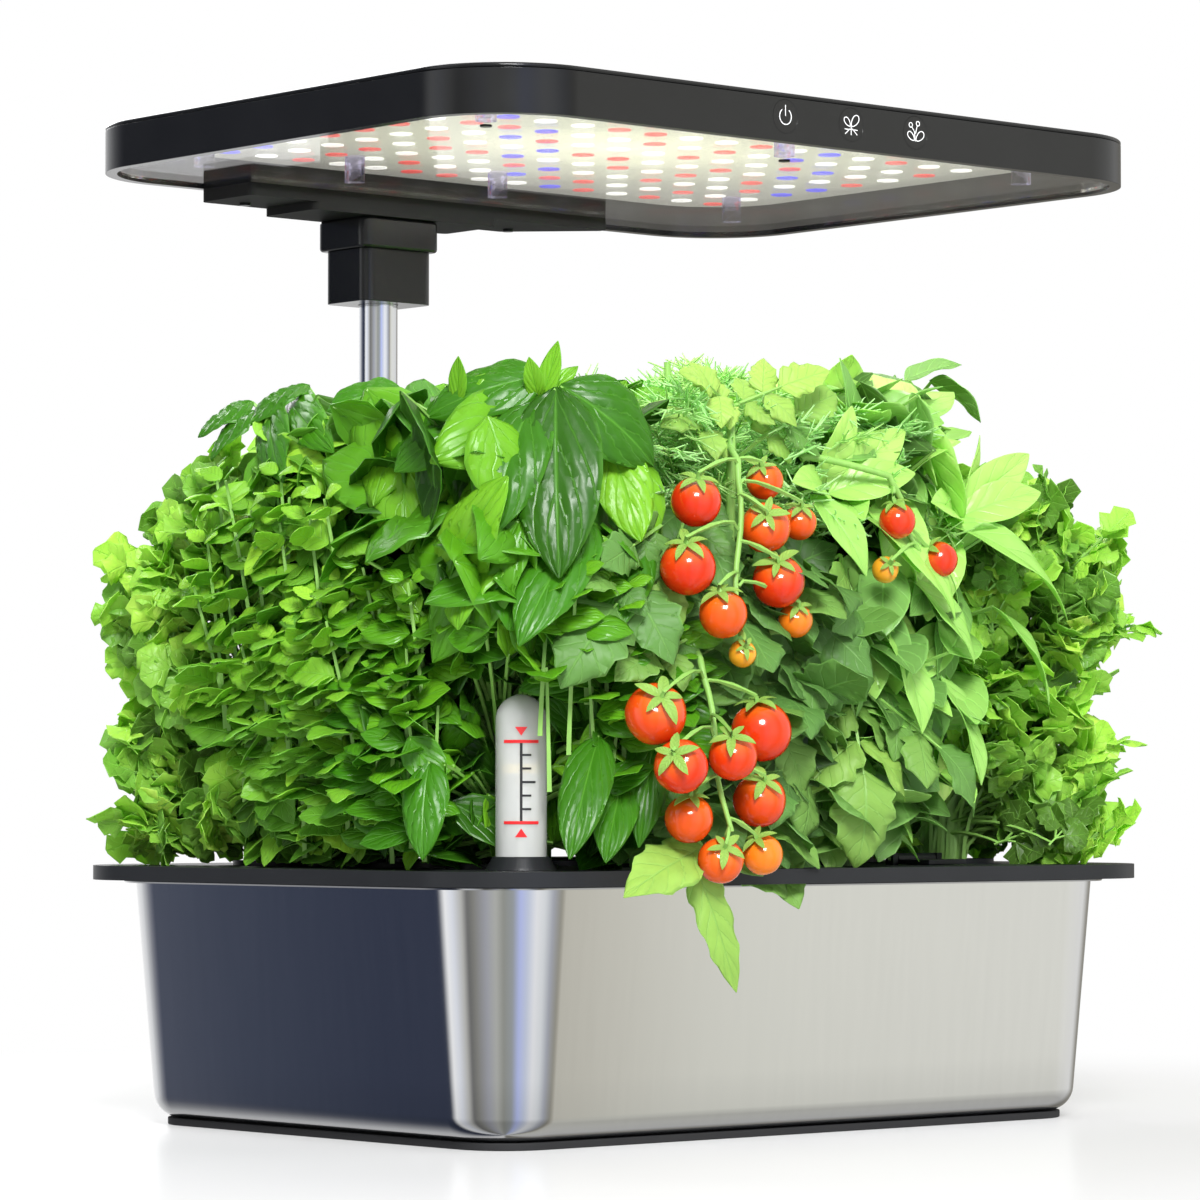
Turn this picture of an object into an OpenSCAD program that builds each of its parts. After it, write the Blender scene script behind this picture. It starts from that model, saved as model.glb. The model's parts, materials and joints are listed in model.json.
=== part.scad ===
// Countertop hydroponic garden: steel tank, lift-off grow deck with twelve planted
// baskets, float gauge, circulation pump, and a grow lamp on a telescopic pole.
// Origin: centre of the flat underside. +X along the front, -Y towards the front, +Z up.

/* [Tank] */
// Length of the tank at its rim
tank_w = 352; // [330:1:380]
// Depth of the tank at its rim
tank_d = 256; // [245:1:290]
// Height of the tank from its pad to its rim
tank_h = 98.6; // [92:0.2:140]
// Radius of the upright corners at the rim
tank_corner_r = 37; // [30:1:45]
// How far each wall leans in over its height
tank_lean = 8.7; // [4:0.1:10]
// Radius of the rolled bottom edge
tank_edge_r = 9.5; // [5:0.5:12]
// Thickness of the steel
tank_wall = 1.2; // [0.8:0.1:2]
// Width of the out-turned rim
tank_flange = 5; // [3:0.5:7]
// Thickness of the anti-slip pad
pad_t = 3; // [2:0.5:6]
// How far the pad sits in from the tank's bottom outline
pad_inset = 4.9; // [3:0.1:8]

/* [Grow deck] */
// Length of the deck
deck_w = 380; // [375:1:410]
// Depth of the deck
deck_d = 291; // [285:1:320]
// Radius of the deck's corners
deck_corner_r = 46.5; // [40:0.5:55]
// Thickness of the deck plate
deck_t = 6; // [4:0.5:9]
// Height of the skirt that drops into the tank
skirt_h = 8; // [5:1:12]
// Thickness of that skirt
skirt_t = 2; // [1.5:0.5:3]
// Gap between the skirt and the tank
skirt_gap = 1; // [0.6:0.1:2]

/* [Baskets] */
// Distance between baskets along the front
pod_pitch_x = 82; // [78:1:84]
// Distance between baskets from front to back
pod_pitch_y = 70; // [66:1:72]
// Radius of the holes that hold the baskets
pod_hole_r = 17; // [14:0.5:18]
// Radius of a basket's rim
pod_rim_r = 22; // [20:0.5:23]
// Thickness of a basket's rim
pod_rim_t = 2; // [1.5:0.5:3]
// Gap between a basket and its hole
pod_gap = 0.5; // [0.3:0.1:1]
// How far a basket hangs below the deck's top
pod_depth = 55; // [40:1:58]
// Radius of a basket at its foot
pod_foot_r = 11; // [8:0.5:13]
// Thickness of a basket's wall
pod_wall = 1.5; // [1:0.1:2]
// Width of a basket's slots
pod_slot_w = 5; // [3:0.5:7]
// Gap between a sponge and its basket
sponge_gap = 0.3; // [0.2:0.1:0.8]

/* [Level gauge] */
// Place of the gauge along the front
gauge_x = -147; // [-148:1:-144]
// Place of the gauge from front to back
gauge_y = -110; // [-111:1:-106]
// Radius of the clear gauge tube
gauge_r = 10; // [9:0.5:11]
// Thickness of the tube's wall
gauge_wall = 1.5; // [1:0.1:2]
// Height of the tube, dome included
gauge_h = 68; // [60:1:90]
// Turn of the scale towards the near corner, in degrees
gauge_turn = 40; // [0:1:90]
// Height of the collar
collar_h = 5.4; // [4:0.2:8]
// How far the collar's foot stands out from the tube
collar_foot = 4; // [3:0.5:5]
// Height of the low mark above the deck
mark_low = 18.5; // [14:0.5:20]
// Distance from the low mark to the high mark
mark_span = 31.2; // [24:0.2:36]
// Divisions between the marks
mark_steps = 6; // [4:1:8]
// Thickness of the printed scale
scale_t = 0.3; // [0.2:0.1:0.5]
// Radius of the float's rod
rod_r = 1.5; // [1:0.1:2]
// Radius of the float
float_r = 7.5; // [6:0.5:8]
// Length of the float
float_h = 30; // [20:1:34]
// How far the float's top lies below the deck plate
float_drop = 21; // [18:1:26]
// Height of the coloured marker on the rod
marker_h = 3.6; // [2:0.2:6]

/* [Pole] */
// Place of the pole along the front
pole_x = -33; // [-40:1:40]
// Place of the pole from front to back
pole_y = 122; // [121:0.5:123]
// Radius of the lower pole
pole_r = 8.4; // [7.5:0.1:9]
// Thickness of both pole tubes
pole_wall = 1; // [0.8:0.1:1.5]
// Gap between the two tubes
pole_gap = 0.3; // [0.3:0.1:0.6]
// Running clearance of the guide bush on the upper pole
bush_fit = 0.08; // [0.03:0.01:0.1]
// Height of the guide bush
bush_h = 3; // [2:0.5:5]
// Length of the upper pole
upper_pole_l = 226; // [200:1:240]
// Radius of the pole base's foot
base_r = 18; // [17:0.5:19]
// Thickness of that foot
base_t = 4; // [3:0.5:6]
// Height of the pole base
base_h = 26; // [20:1:40]
// Radius of the small screws
screw_r = 1.5; // [1:0.1:2]
// Radius of the small screws' heads
screw_head_r = 2.4; // [2:0.1:2.6]
// Radius of the low-voltage inlet's hole
inlet_r = 2.75; // [2:0.05:3]

/* [Lamp] */
// Length of the lamp
lamp_w = 376; // [350:1:400]
// Depth of the lamp
lamp_d = 280.4; // [276:0.2:300]
// Radius of the lamp's corners
lamp_corner_r = 44.4; // [35:0.2:55]
// Height of the lamp's underside above the deck
lamp_lift = 289.4; // [280:0.2:320]
// Height of the lamp
lamp_h = 19.6; // [18:0.2:26]
// Thickness of the lamp's frame
lamp_wall = 5; // [4:0.5:7]
// Thickness of the top cover
top_t = 2; // [1.5:0.5:3]
// Height of the light board above the lamp's underside
board_up = 14; // [12:0.2:14]
// Thickness of the light board
board_t = 1.6; // [1:0.2:2]
// Height of the clear lens above the lamp's underside
lens_up = 1.2; // [0.6:0.2:2]
// Thickness of the lens
lens_t = 1.4; // [1:0.2:2]
// Gap around the lens and the board
lamp_gap = 0.5; // [0.3:0.1:1]
// Radius of the clear posts
post_r = 4.3; // [3:0.1:4.8]
// Radius of a light
led_r = 4.8; // [2:0.1:5]
// Height of a light
led_h = 1.2; // [0.6:0.1:2]
// Distance between lights along the front
led_pitch_x = 20; // [19:0.5:20]
// Distance between lights from front to back
led_pitch_y = 23; // [22:0.5:23]

/* [Lamp mount] */
// Width of the block that caps the pole
head_w = 38; // [32:1:40]
// Depth of the block that caps the pole
head_d = 30; // [26:1:32]
// Height of the block that caps the pole
head_h = 23; // [20:1:30]
// Width of the socket block under the bracket
socket_w = 43; // [40:1:50]
// Depth of the socket block
socket_d = 35; // [32:1:35]
// Height of the socket block
socket_h = 13.5; // [12:0.5:24]
// Radius of both blocks' upright edges
block_r = 5; // [2:0.5:8]
// Length of the bracket plate
bracket_w = 200; // [180:1:220]
// Depth of the bracket plate
bracket_d = 36; // [35:1:40]
// Thickness of the bracket plate
bracket_t = 5.5; // [2:0.5:7]
// Length over which the bracket plate narrows to its tip
bracket_taper = 32; // [16:1:40]
// Length of the bracket's thicker middle
rib_w = 102; // [80:1:120]
// Height of the bracket's thicker middle
rib_h = 3.5; // [1:0.5:4]

/* [Buttons] */
// Radius of a button
button_r = 6.7; // [5:0.1:7]
// Distance between buttons
button_pitch = 36.4; // [25:0.2:45]
// Place of the middle button along the front
button_x = 1.6; // [-40:0.2:40]
// Running clearance of a button in its hole
button_fit = 0.08; // [0.03:0.01:0.1]
// How far a button travels
button_travel = 0.6; // [0.4:0.1:0.8]

/* [Fill flap] */
// Length of the flap along its hinge
flap_w = 22; // [16:1:22]
// Depth of the flap
flap_d = 20; // [16:1:20]
// Thickness of the flap
flap_t = 2; // [1.5:0.5:3]
// Radius of the hinge pin
flap_pin_r = 1; // [0.8:0.1:1.2]
// Running clearance of the flap on its pin
flap_fit = 0.05; // [0.03:0.01:0.1]

/* [Pump] */
// Length of the pump
pump_w = 44; // [40:1:50]
// Depth of the pump
pump_d = 32; // [30:1:40]
// Height of the pump
pump_h = 26; // [26:1:32]
// Height of the pump above the tank's floor
pump_up = 9; // [6:1:12]
// Radius of the impeller chamber
chamber_r = 10.5; // [9:0.5:11]
// Depth of the impeller chamber
chamber_d = 10; // [8:0.5:12]
// Length of the magnet on the impeller
magnet_l = 20; // [14:1:22]
// Radius of the magnet
magnet_r = 6; // [4:0.5:7]
// Gap between the impeller and the pump
impeller_gap = 0.6; // [0.4:0.1:1]
// Radius of the impeller's shaft
shaft_r = 1.2; // [1:0.1:1.5]
// Running clearance of the impeller on its shaft
shaft_fit = 0.05; // [0.02:0.01:0.1]
// Blades on the impeller
blades = 6; // [4:1:8]
// Radius of the riser pipe
riser_r = 5; // [4:0.5:6]
// Thickness of the riser pipe
riser_wall = 1.5; // [1:0.1:2]

/* [Plants] */
// Length of the foliage along the front
foliage_w = 366; // [340:1:372]
// How far the foliage reaches forward of the centre
foliage_front = 136; // [125:1:138]
// How far the foliage reaches behind the centre
foliage_back = 111; // [105:1:111]
// Gap between neighbouring plants
plant_gap = 1; // [0.6:0.2:4]
// Radius of a plant's foot
plant_foot_r = 22; // [16:1:22]
// Height of the parsley above the deck
parsley_h = 172; // [110:1:200]
// Height of the mint above the deck
mint_h = 188; // [110:1:210]
// Height of the basil above the deck
basil_h = 202; // [110:1:215]
// Height of the tomato plant above the deck
tomato_h = 198; // [180:1:215]
// Height of the dill above the deck
dill_h = 206; // [110:1:215]
// Height of the pepper plants above the deck
pepper_h = 202; // [110:1:215]
// Radius of the main stems
stem_r = 3; // [2:0.5:4]
// Radius of the tomato trusses
truss_r = 1.3; // [1:0.1:2]

/* [Hidden] */
$fn = 96;
eps = 0.01;

// Heights
deck_z = pad_t + tank_h;
deck_top = deck_z + deck_t;
lamp_z = deck_top + lamp_lift;
top_z = lamp_z + lamp_h - top_t;
board_z = lamp_z + board_up;
lens_z = lamp_z + lens_up;
rib_z = lamp_z - bracket_t - rib_h;
socket_z = rib_z - socket_h;
head_z = socket_z - head_h;
marker_z = deck_top + mark_low + mark_span - 2 * mark_span / mark_steps;
float_top = deck_z - float_drop;
pump_z = pad_t + tank_wall + pump_up;

// Tank
tank_inner_w = tank_w - 2 * tank_wall;
tank_inner_d = tank_d - 2 * tank_wall;
skirt_w = tank_inner_w - 2 * skirt_gap;
skirt_d = tank_inner_d - 2 * skirt_gap;
skirt_r = tank_corner_r - tank_wall - skirt_gap;

// Baskets stand in four columns and three rows
pod_cols = 4;
pod_rows = 3;
function pod_x(c) = (c - (pod_cols - 1) / 2) * pod_pitch_x;
function pod_y(r) = (r - (pod_rows - 1) / 2) * pod_pitch_y;
pod_top_r = pod_hole_r - pod_gap;
sponge_top = deck_top + pod_rim_t - 1;
pod_slot_up = 6;
pod_slot_h = pod_depth - 18;

// Gauge
gauge_hole_r = rod_r + 3.5;
gauge_floor = 2;
rod_fit = 0.05;
mark_w = 13.3;
mark_t = 1.2;
line_w = 1;
tick_w = 3.4;
tick_mid_w = 5;
tick_t = 0.8;
marker_r = gauge_r - gauge_wall - 1;

// Pole
bush_z = head_z + 7;
lower_pole_z = deck_top + 2;
upper_pole_r = pole_r - pole_wall - pole_gap;
head_recess = 11;
head_fit = 0.35;
base_wall = 2.6;
base_screw_x = base_r - screw_head_r - 1.5;
base_screw_head_h = 1.6;
inlet_body_r = inlet_r + 1.25;
inlet_block = 16;
inlet_block_h = base_h - 6;
inlet_l = 9;
inlet_up = 9;
inlet_back = 20;

// Lamp
lamp_in_w = lamp_w - 2 * lamp_wall;
lamp_in_d = lamp_d - 2 * lamp_wall;
lamp_in_r = lamp_corner_r - lamp_wall;
lens_w = lamp_in_w - 2 * lamp_gap;
lens_d = lamp_in_d - 2 * lamp_gap;
lens_r = lamp_in_r - lamp_gap;
led_cols = 17;
led_rows = 11;
function led_x(i) = (i - (led_cols - 1) / 2) * led_pitch_x;
function led_y(j) = (j - (led_rows - 1) / 2) * led_pitch_y;
// Lights: 0 is white, 1 is red, 2 is blue
function led_kind(i, j) = (3 * i + 5 * j) % 16 == 3 || (3 * i + 5 * j) % 16 == 8 ? 2
    : (i + 2 * j) % 4 == 0 || (2 * i + j) % 7 == 3 ? 1 : 0;
bracket_x = pole_x + 15;
bracket_y = lamp_d / 2 - 2.2 - bracket_d / 2;
shelf_t = 3;
ledge_w = 3;
post_xs = [led_x(0) + led_pitch_x / 2, led_pitch_x / 2, led_x(led_cols - 1) - led_pitch_x / 2];
post_ys = [-4 * led_pitch_y, 4 * led_pitch_y];
posts = concat([for (x = post_xs, y = post_ys) [x, y]], [[led_x(4) + led_pitch_x / 2, post_ys[1]]]);
bracket_screw_inset = 17;
bracket_tip = 4;
bracket_screw_l = bracket_t + 2;
bracket_screw_head_h = 1;
bracket_corner_r = 3;
cover_screw_head_h = 0.8;

// Buttons
button_z = lamp_z + lamp_h / 2 + 0.2;
button_flange_t = 0.8;
button_flange_r = button_r + 0.5;
button_slack = 0.15;
button_room_w = 2 * button_flange_r + 1;
button_room_d = button_slack + button_flange_t + button_travel + 0.2;
switch_h = 0.7;
switch_r = 2.5;
switch_y = -lamp_d / 2 + lamp_wall + button_slack + button_flange_t + button_travel + 0.05;
control_w = 2 * button_pitch + 24;
control_h = board_z - lens_z - lens_t - 0.6;
control_t = 1.2;

// Fill flap, midway between the third and fourth columns
flap_x = pod_pitch_x;
flap_hinge_y = -94;
flap_barrel_r = flap_pin_r + 1.3;
flap_clear = 0.3;
flap_axis_z = deck_top + flap_barrel_r + flap_clear;
flap_ear = 3;
flap_ear_gap = 0.4;
flap_lap = 2;

// Pump
pump_x = pod_pitch_x;
pump_y = pod_pitch_y / 2;
pump_axis_z = pump_z + pump_h / 2;
pump_cover_t = 3;
pump_boss = 4;
blade_t = 1.2;
back_plate_t = 1.5;
hub_r = 3.5;
pump_corner_r = 4;
pump_bore_r = 2;
intake_ys = [-7.5, -4.5, 4.5, 7.5];
intake_w = 1.6;
intake_h = 12;

// Plants: a crown is a middle tuft and one in each corner of its cell
tuft_share = 0.66;
tuft_r = 20;
tuft_slab = 1;
tuft_fn = 16;
plant_stem_h = 8;
// Layers of a tuft from the foot up: [share of its height, how far it draws in]
tuft_layers = [[0.14, 4], [0.34, 1], [0.66, 0], [0.88, 4], [1, 11]];
// Each corner tuft: [x way, y way, share of the plant's height]
tuft_corners = [[-1, -1, 0.94], [1, -1, 0.98], [1, 1, 0.9], [-1, 1, 0.95]];
// How much lower the tuft at the garden's own corner is, as a share of the height
parsley_fall = 0.12;
herb_fall = 0.02;
gauge_space = 6;
flap_space = 3;

// Fruit: [x, y, height above the deck, radius], truss by truss
upper_fruit = [
    [-92, -150, 143, 10], [-50, -144, 153, 7.5], [-57, -152, 134, 10], [-33, -146, 137, 7],
    [-100, -154, 117, 11], [-51, -153, 113, 10.5], [-87, -160, 99, 9.5],
    [-40, -151, 98, 7], [-75, -158, 84, 5.5]
];
lower_fruit = [
    [-122, -160, 60, 12], [-64, -157, 54, 12], [-119, -171, 40, 10.5], [-93, -172, 44, 9.5],
    [-67, -159, 27, 10.5], [-104, -159, 20, 9.5], [-93, -165, 4, 9], [-70, -164, 6, 8]
];
side_fruit = [[23.5, -144, 140, 7.5], [17.5, -143, 120, 5.5], [47.5, -144, 125, 7.5]];
// Trusses: [top, foot, way back from the top to the plant]
upper_truss = [[-68, -148, 160], [-76, -157, 91], [20, 30, 8]];
lower_truss = [[-88, -148, 82], [-90, -167, 15], [20, 30, 8]];
side_truss = [[20, -143, 158], [36, -143, 128], [-34, 16, 6]];

// ---------- helpers ----------

module rounded_rect(w, d, r) {
    square([w - 2 * r, d], center = true);
    square([w, d - 2 * r], center = true);
    for (x = [-1, 1], y = [-1, 1]) translate([x * (w / 2 - r), y * (d / 2 - r)]) circle(r = r);
}

module slab(w, d, r, h) {
    linear_extrude(height = h) rounded_rect(w, d, r);
}

module ring(w, d, r, wall, h) {
    difference() {
        slab(w, d, r, h);
        translate([0, 0, -1]) slab(w - 2 * wall, d - 2 * wall, r - wall, h + 2);
    }
}

module tube(r_out, r_in, h) {
    difference() {
        cylinder(r = r_out, h = h);
        translate([0, 0, -1]) cylinder(r = r_in, h = h + 2);
    }
}

// A round-ended stalk from a to b
module stalk(a, b, r) {
    hull() for (p = [a, b]) translate(p) sphere(r = r, $fn = 8);
}

// A tapered pan with a rounded bottom edge, from z = 0 to z = h
module pan(w, d, r, lean, edge, h) {
    foot = r - lean;
    hull() for (x = [-1, 1], y = [-1, 1])
        translate([x * (w / 2 - r), y * (d / 2 - r), 0])
            rotate_extrude($fn = 48)
                polygon(concat(
                    [[0, 0]],
                    [for (a = [0 : 15 : 90]) [foot - edge + edge * sin(a), edge - edge * cos(a)]],
                    [[r, h], [0, h]]));
}

// ---------- tank ----------

module base_pad() {
    inset = tank_lean + pad_inset;
    color([0.05, 0.05, 0.055])
        slab(tank_w - 2 * inset, tank_d - 2 * inset, tank_corner_r - inset, pad_t);
}

module water_tank() {
    color([0.72, 0.73, 0.75]) translate([0, 0, pad_t]) {
        difference() {
            pan(tank_w, tank_d, tank_corner_r, tank_lean, tank_edge_r, tank_h);
            translate([0, 0, tank_wall])
                pan(tank_inner_w, tank_inner_d, tank_corner_r - tank_wall, tank_lean,
                    tank_edge_r - tank_wall, tank_h);
        }
        translate([0, 0, tank_h - tank_wall])
            ring(tank_w + 2 * tank_flange, tank_d + 2 * tank_flange,
                tank_corner_r + tank_flange, tank_flange + tank_wall / 2, tank_wall);
    }
}

// ---------- deck ----------

module at_pods() {
    for (r = [0 : pod_rows - 1], c = [0 : pod_cols - 1])
        translate([pod_x(c), pod_y(r), 0]) children();
}

module grow_deck() {
    color([0.12, 0.12, 0.13]) difference() {
        union() {
            translate([0, 0, deck_z]) slab(deck_w, deck_d, deck_corner_r, deck_t);
            translate([0, 0, deck_z - skirt_h])
                ring(skirt_w, skirt_d, skirt_r, skirt_t, skirt_h + eps);
            flap_ears();
        }
        at_pods() translate([0, 0, deck_z - 1]) cylinder(r = pod_hole_r, h = deck_t + 2);
        translate([gauge_x, gauge_y, deck_z - 1]) cylinder(r = gauge_hole_r, h = deck_t + 2);
        at_base_screws() translate([0, 0, deck_z + 1]) cylinder(r = screw_r, h = deck_t);
        fill_opening();
    }
}

module fill_opening() {
    translate([flap_x, flap_hinge_y - flap_d / 2 - 1, deck_z + deck_t / 2])
        cube([flap_w - 2 * flap_lap, flap_d - 2 * flap_lap, deck_t + 2], center = true);
}

module flap_ears() {
    for (s = [-1, 1])
        translate([flap_x + s * ((flap_w + flap_ear) / 2 + flap_ear_gap), flap_hinge_y, 0])
            difference() {
                translate([-flap_ear / 2, -flap_barrel_r, deck_top - eps])
                    cube([flap_ear, 2 * flap_barrel_r, 2 * flap_barrel_r + flap_clear]);
                translate([-flap_ear, 0, flap_axis_z])
                    rotate([0, 90, 0]) cylinder(r = flap_pin_r, h = 2 * flap_ear);
            }
}

module flap_pin() {
    l = flap_w + 2 * (flap_ear + flap_ear_gap);
    color([0.75, 0.75, 0.78]) translate([flap_x - l / 2, flap_hinge_y, flap_axis_z])
        rotate([0, 90, 0]) cylinder(r = flap_pin_r, h = l);
}

module fill_flap() {
    color([0.16, 0.16, 0.17]) difference() {
        union() {
            translate([flap_x - flap_w / 2, flap_hinge_y - flap_d, deck_top + flap_clear])
                cube([flap_w, flap_d, flap_t]);
            translate([flap_x - flap_w / 2, flap_hinge_y, flap_axis_z])
                rotate([0, 90, 0]) cylinder(r = flap_barrel_r, h = flap_w);
        }
        translate([flap_x - flap_w, flap_hinge_y, flap_axis_z])
            rotate([0, 90, 0]) cylinder(r = flap_pin_r + flap_fit, h = 2 * flap_w);
    }
}

module basket(n) {
    c = (n - 1) % pod_cols;
    r = floor((n - 1) / pod_cols);
    color([0.13, 0.13, 0.14]) translate([pod_x(c), pod_y(r), deck_top]) difference() {
        rotate_extrude() polygon([
            [0, -pod_depth], [pod_foot_r, -pod_depth], [pod_top_r, 0], [pod_rim_r, 0],
            [pod_rim_r, pod_rim_t], [pod_top_r - pod_wall, pod_rim_t],
            [pod_foot_r - pod_wall, pod_wall - pod_depth], [0, pod_wall - pod_depth]]);
        for (a = [0, 90])
            rotate([0, 0, a]) translate([-pod_rim_r, -pod_slot_w / 2, pod_slot_up - pod_depth])
                cube([2 * pod_rim_r, pod_slot_w, pod_slot_h]);
    }
}

module grow_sponges() {
    h = sponge_top - deck_top + pod_depth - pod_wall;
    color([0.55, 0.42, 0.28]) at_pods() translate([0, 0, sponge_top - h])
        cylinder(r1 = pod_foot_r - pod_wall - sponge_gap, r2 = pod_top_r - pod_wall - sponge_gap, h = h);
}

// ---------- level gauge ----------

module at_gauge(z) {
    translate([gauge_x, gauge_y, z]) rotate([0, 0, -gauge_turn]) children();
}

module gauge_collar() {
    color([0.1, 0.1, 0.11]) at_gauge(deck_top) difference() {
        cylinder(r1 = gauge_r + collar_foot, r2 = gauge_r + 1, h = collar_h);
        translate([0, 0, -1]) cylinder(r = gauge_r, h = collar_h + 2);
    }
}

module gauge_tube() {
    in_r = gauge_r - gauge_wall;
    color([0.85, 0.9, 0.88, 0.4]) at_gauge(deck_top) difference() {
        union() {
            cylinder(r = gauge_r, h = gauge_h - gauge_r);
            translate([0, 0, gauge_h - gauge_r]) sphere(r = gauge_r);
        }
        translate([0, 0, gauge_floor]) cylinder(r = in_r, h = gauge_h - gauge_r - gauge_floor);
        translate([0, 0, gauge_h - gauge_r]) sphere(r = in_r);
        translate([0, 0, -1]) cylinder(r = rod_r + rod_fit, h = gauge_floor + 2);
        translate([0, 0, -gauge_r]) cylinder(r = gauge_r + 1, h = gauge_r);
    }
}

// A patch of the scale: w wide and h high, its foot z above the deck
module scale_patch(x, z, w, h) {
    intersection() {
        tube(gauge_r + scale_t, gauge_r, gauge_h);
        translate([x, -2 * gauge_r, z]) cube([w, 2 * gauge_r, h]);
    }
}

module gauge_scale() {
    step = mark_span / mark_steps;
    at_gauge(deck_top) {
        color("red") for (z = [mark_low, mark_low + mark_span])
            scale_patch(-mark_w / 2, z - mark_t / 2, mark_w, mark_t);
        color("black") scale_patch(-line_w / 2, mark_low + mark_t / 2, line_w, mark_span - mark_t);
        color("black") for (i = [1 : mark_steps - 1])
            scale_patch(line_w / 2, mark_low + i * step - tick_t / 2,
                2 * i == mark_steps ? tick_mid_w : tick_w, tick_t);
    }
}

module float_rod() {
    color([0.9, 0.9, 0.85]) at_gauge(float_top)
        cylinder(r = rod_r, h = marker_z - marker_h / 2 - float_top);
}

module float_body() {
    color([0.92, 0.92, 0.9]) at_gauge(float_top - float_h) cylinder(r = float_r, h = float_h);
}

module float_marker() {
    color([0.95, 0.8, 0.15]) at_gauge(marker_z - marker_h / 2)
        cylinder(r = marker_r, h = marker_h);
}

// ---------- pole ----------

module at_pole(z) {
    translate([pole_x, pole_y, z]) children();
}

module at_base_screws() {
    for (a = [0, 180, 270]) at_pole(0) rotate([0, 0, a]) translate([base_screw_x, 0, 0]) children();
}

module pole_base() {
    color([0.1, 0.1, 0.11]) difference() {
        union() {
            at_pole(deck_top) cylinder(r = base_r, h = base_t);
            at_pole(deck_top) cylinder(r = pole_r + base_wall, h = base_h);
            at_pole(deck_top) translate([-inlet_block / 2, 0, 0])
                cube([inlet_block, inlet_back, inlet_block_h]);
        }
        at_pole(lower_pole_z) cylinder(r = pole_r, h = base_h);
        at_base_screws() translate([0, 0, deck_top - 1]) cylinder(r = screw_r, h = base_t + 2);
        at_pole(deck_top + base_t + inlet_up) translate([0, inlet_back + 1, 0])
            rotate([90, 0, 0]) cylinder(r = inlet_body_r, h = inlet_l + 1);
    }
}

module base_screws() {
    color([0.2, 0.2, 0.2]) at_base_screws() {
        translate([0, 0, deck_z + 1]) cylinder(r = screw_r, h = deck_t - 1 + base_t);
        translate([0, 0, deck_top + base_t]) cylinder(r = screw_head_r, h = base_screw_head_h);
    }
}

module power_inlet() {
    color([0.3, 0.3, 0.32]) at_pole(deck_top + base_t + inlet_up)
        translate([0, inlet_back, 0]) rotate([90, 0, 0]) difference() {
            cylinder(r = inlet_body_r, h = inlet_l);
            translate([0, 0, -1]) cylinder(r = inlet_r, h = inlet_l);
        }
}

module lower_pole() {
    color([0.86, 0.87, 0.9]) at_pole(lower_pole_z)
        tube(pole_r, pole_r - pole_wall, bush_z - lower_pole_z);
}

module pole_bush() {
    color([0.15, 0.15, 0.16]) at_pole(bush_z) tube(pole_r, upper_pole_r + bush_fit, bush_h);
}

module upper_pole() {
    color([0.86, 0.87, 0.9]) at_pole(socket_z - upper_pole_l)
        tube(upper_pole_r, upper_pole_r - pole_wall, upper_pole_l);
}

module pole_head() {
    color([0.08, 0.08, 0.09]) difference() {
        at_pole(head_z) slab(head_w, head_d, block_r, head_h);
        at_pole(head_z - 1) cylinder(r = pole_r + head_fit, h = head_recess + 1);
        at_pole(head_z) cylinder(r = upper_pole_r, h = head_h + 1);
    }
}

module lamp_socket() {
    color([0.08, 0.08, 0.09]) at_pole(socket_z) slab(socket_w, socket_d, block_r, socket_h);
}

// ---------- pump ----------

module at_pump() {
    translate([pump_x, pump_y, pump_axis_z]) rotate([0, 90, 0]) children();
}

module pump_body() {
    color([0.12, 0.12, 0.13]) difference() {
        translate([pump_x, pump_y, pump_z]) slab(pump_w, pump_d, pump_corner_r, pump_h);
        at_pump() translate([0, 0, pump_w / 2 - chamber_d]) cylinder(r = chamber_r, h = chamber_d + 1);
        at_pump() translate([0, 0, pump_w / 2 - chamber_d - magnet_l - 2 * impeller_gap])
            cylinder(r = magnet_r + impeller_gap, h = magnet_l + 2 * impeller_gap + 1);
        at_pump() translate([0, 0, pump_w / 2 - chamber_d - magnet_l - 2 * impeller_gap - pump_boss])
            cylinder(r = shaft_r, h = pump_boss + 1);
        translate([pump_x + pump_w / 2 - chamber_d / 2, pump_y, pump_axis_z])
            cylinder(r = pump_bore_r, h = pump_h);
    }
}

module pump_cover() {
    color([0.14, 0.14, 0.15]) difference() {
        translate([pump_x + pump_w / 2, pump_y - pump_d / 2, pump_z])
            cube([pump_cover_t, pump_d, pump_h]);
        at_pump() translate([0, 0, pump_w / 2 - 1]) cylinder(r = shaft_r, h = pump_cover_t);
        for (y = intake_ys)
            translate([pump_x + pump_w / 2 - 1, pump_y + y - intake_w / 2, pump_axis_z - intake_h / 2])
                cube([pump_cover_t + 2, intake_w, intake_h]);
    }
}

module impeller_shaft() {
    l = chamber_d + magnet_l + 2 * impeller_gap + pump_boss + pump_cover_t - 1;
    color([0.95, 0.95, 0.93]) at_pump() translate([0, 0, pump_w / 2 + pump_cover_t - 1 - l])
        cylinder(r = shaft_r, h = l);
}

module impeller() {
    back = pump_w / 2 - chamber_d;
    blade_r = chamber_r - impeller_gap;
    blade_h = chamber_d - 3 * impeller_gap - back_plate_t;
    blade_z = back + impeller_gap + back_plate_t;
    color([0.85, 0.85, 0.8]) at_pump() difference() {
        union() {
            translate([0, 0, back - magnet_l - impeller_gap])
                cylinder(r = magnet_r, h = magnet_l + 2 * impeller_gap);
            translate([0, 0, back + impeller_gap]) cylinder(r = blade_r, h = back_plate_t);
            translate([0, 0, blade_z]) cylinder(r = hub_r, h = blade_h);
            for (i = [0 : blades - 1])
                rotate([0, 0, i * 360 / blades])
                    translate([shaft_r + 1, -blade_t / 2, blade_z - eps])
                        cube([blade_r - shaft_r - 1.2, blade_t, blade_h]);
        }
        translate([0, 0, -pump_w]) cylinder(r = shaft_r + shaft_fit, h = 2 * pump_w);
    }
}

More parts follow.
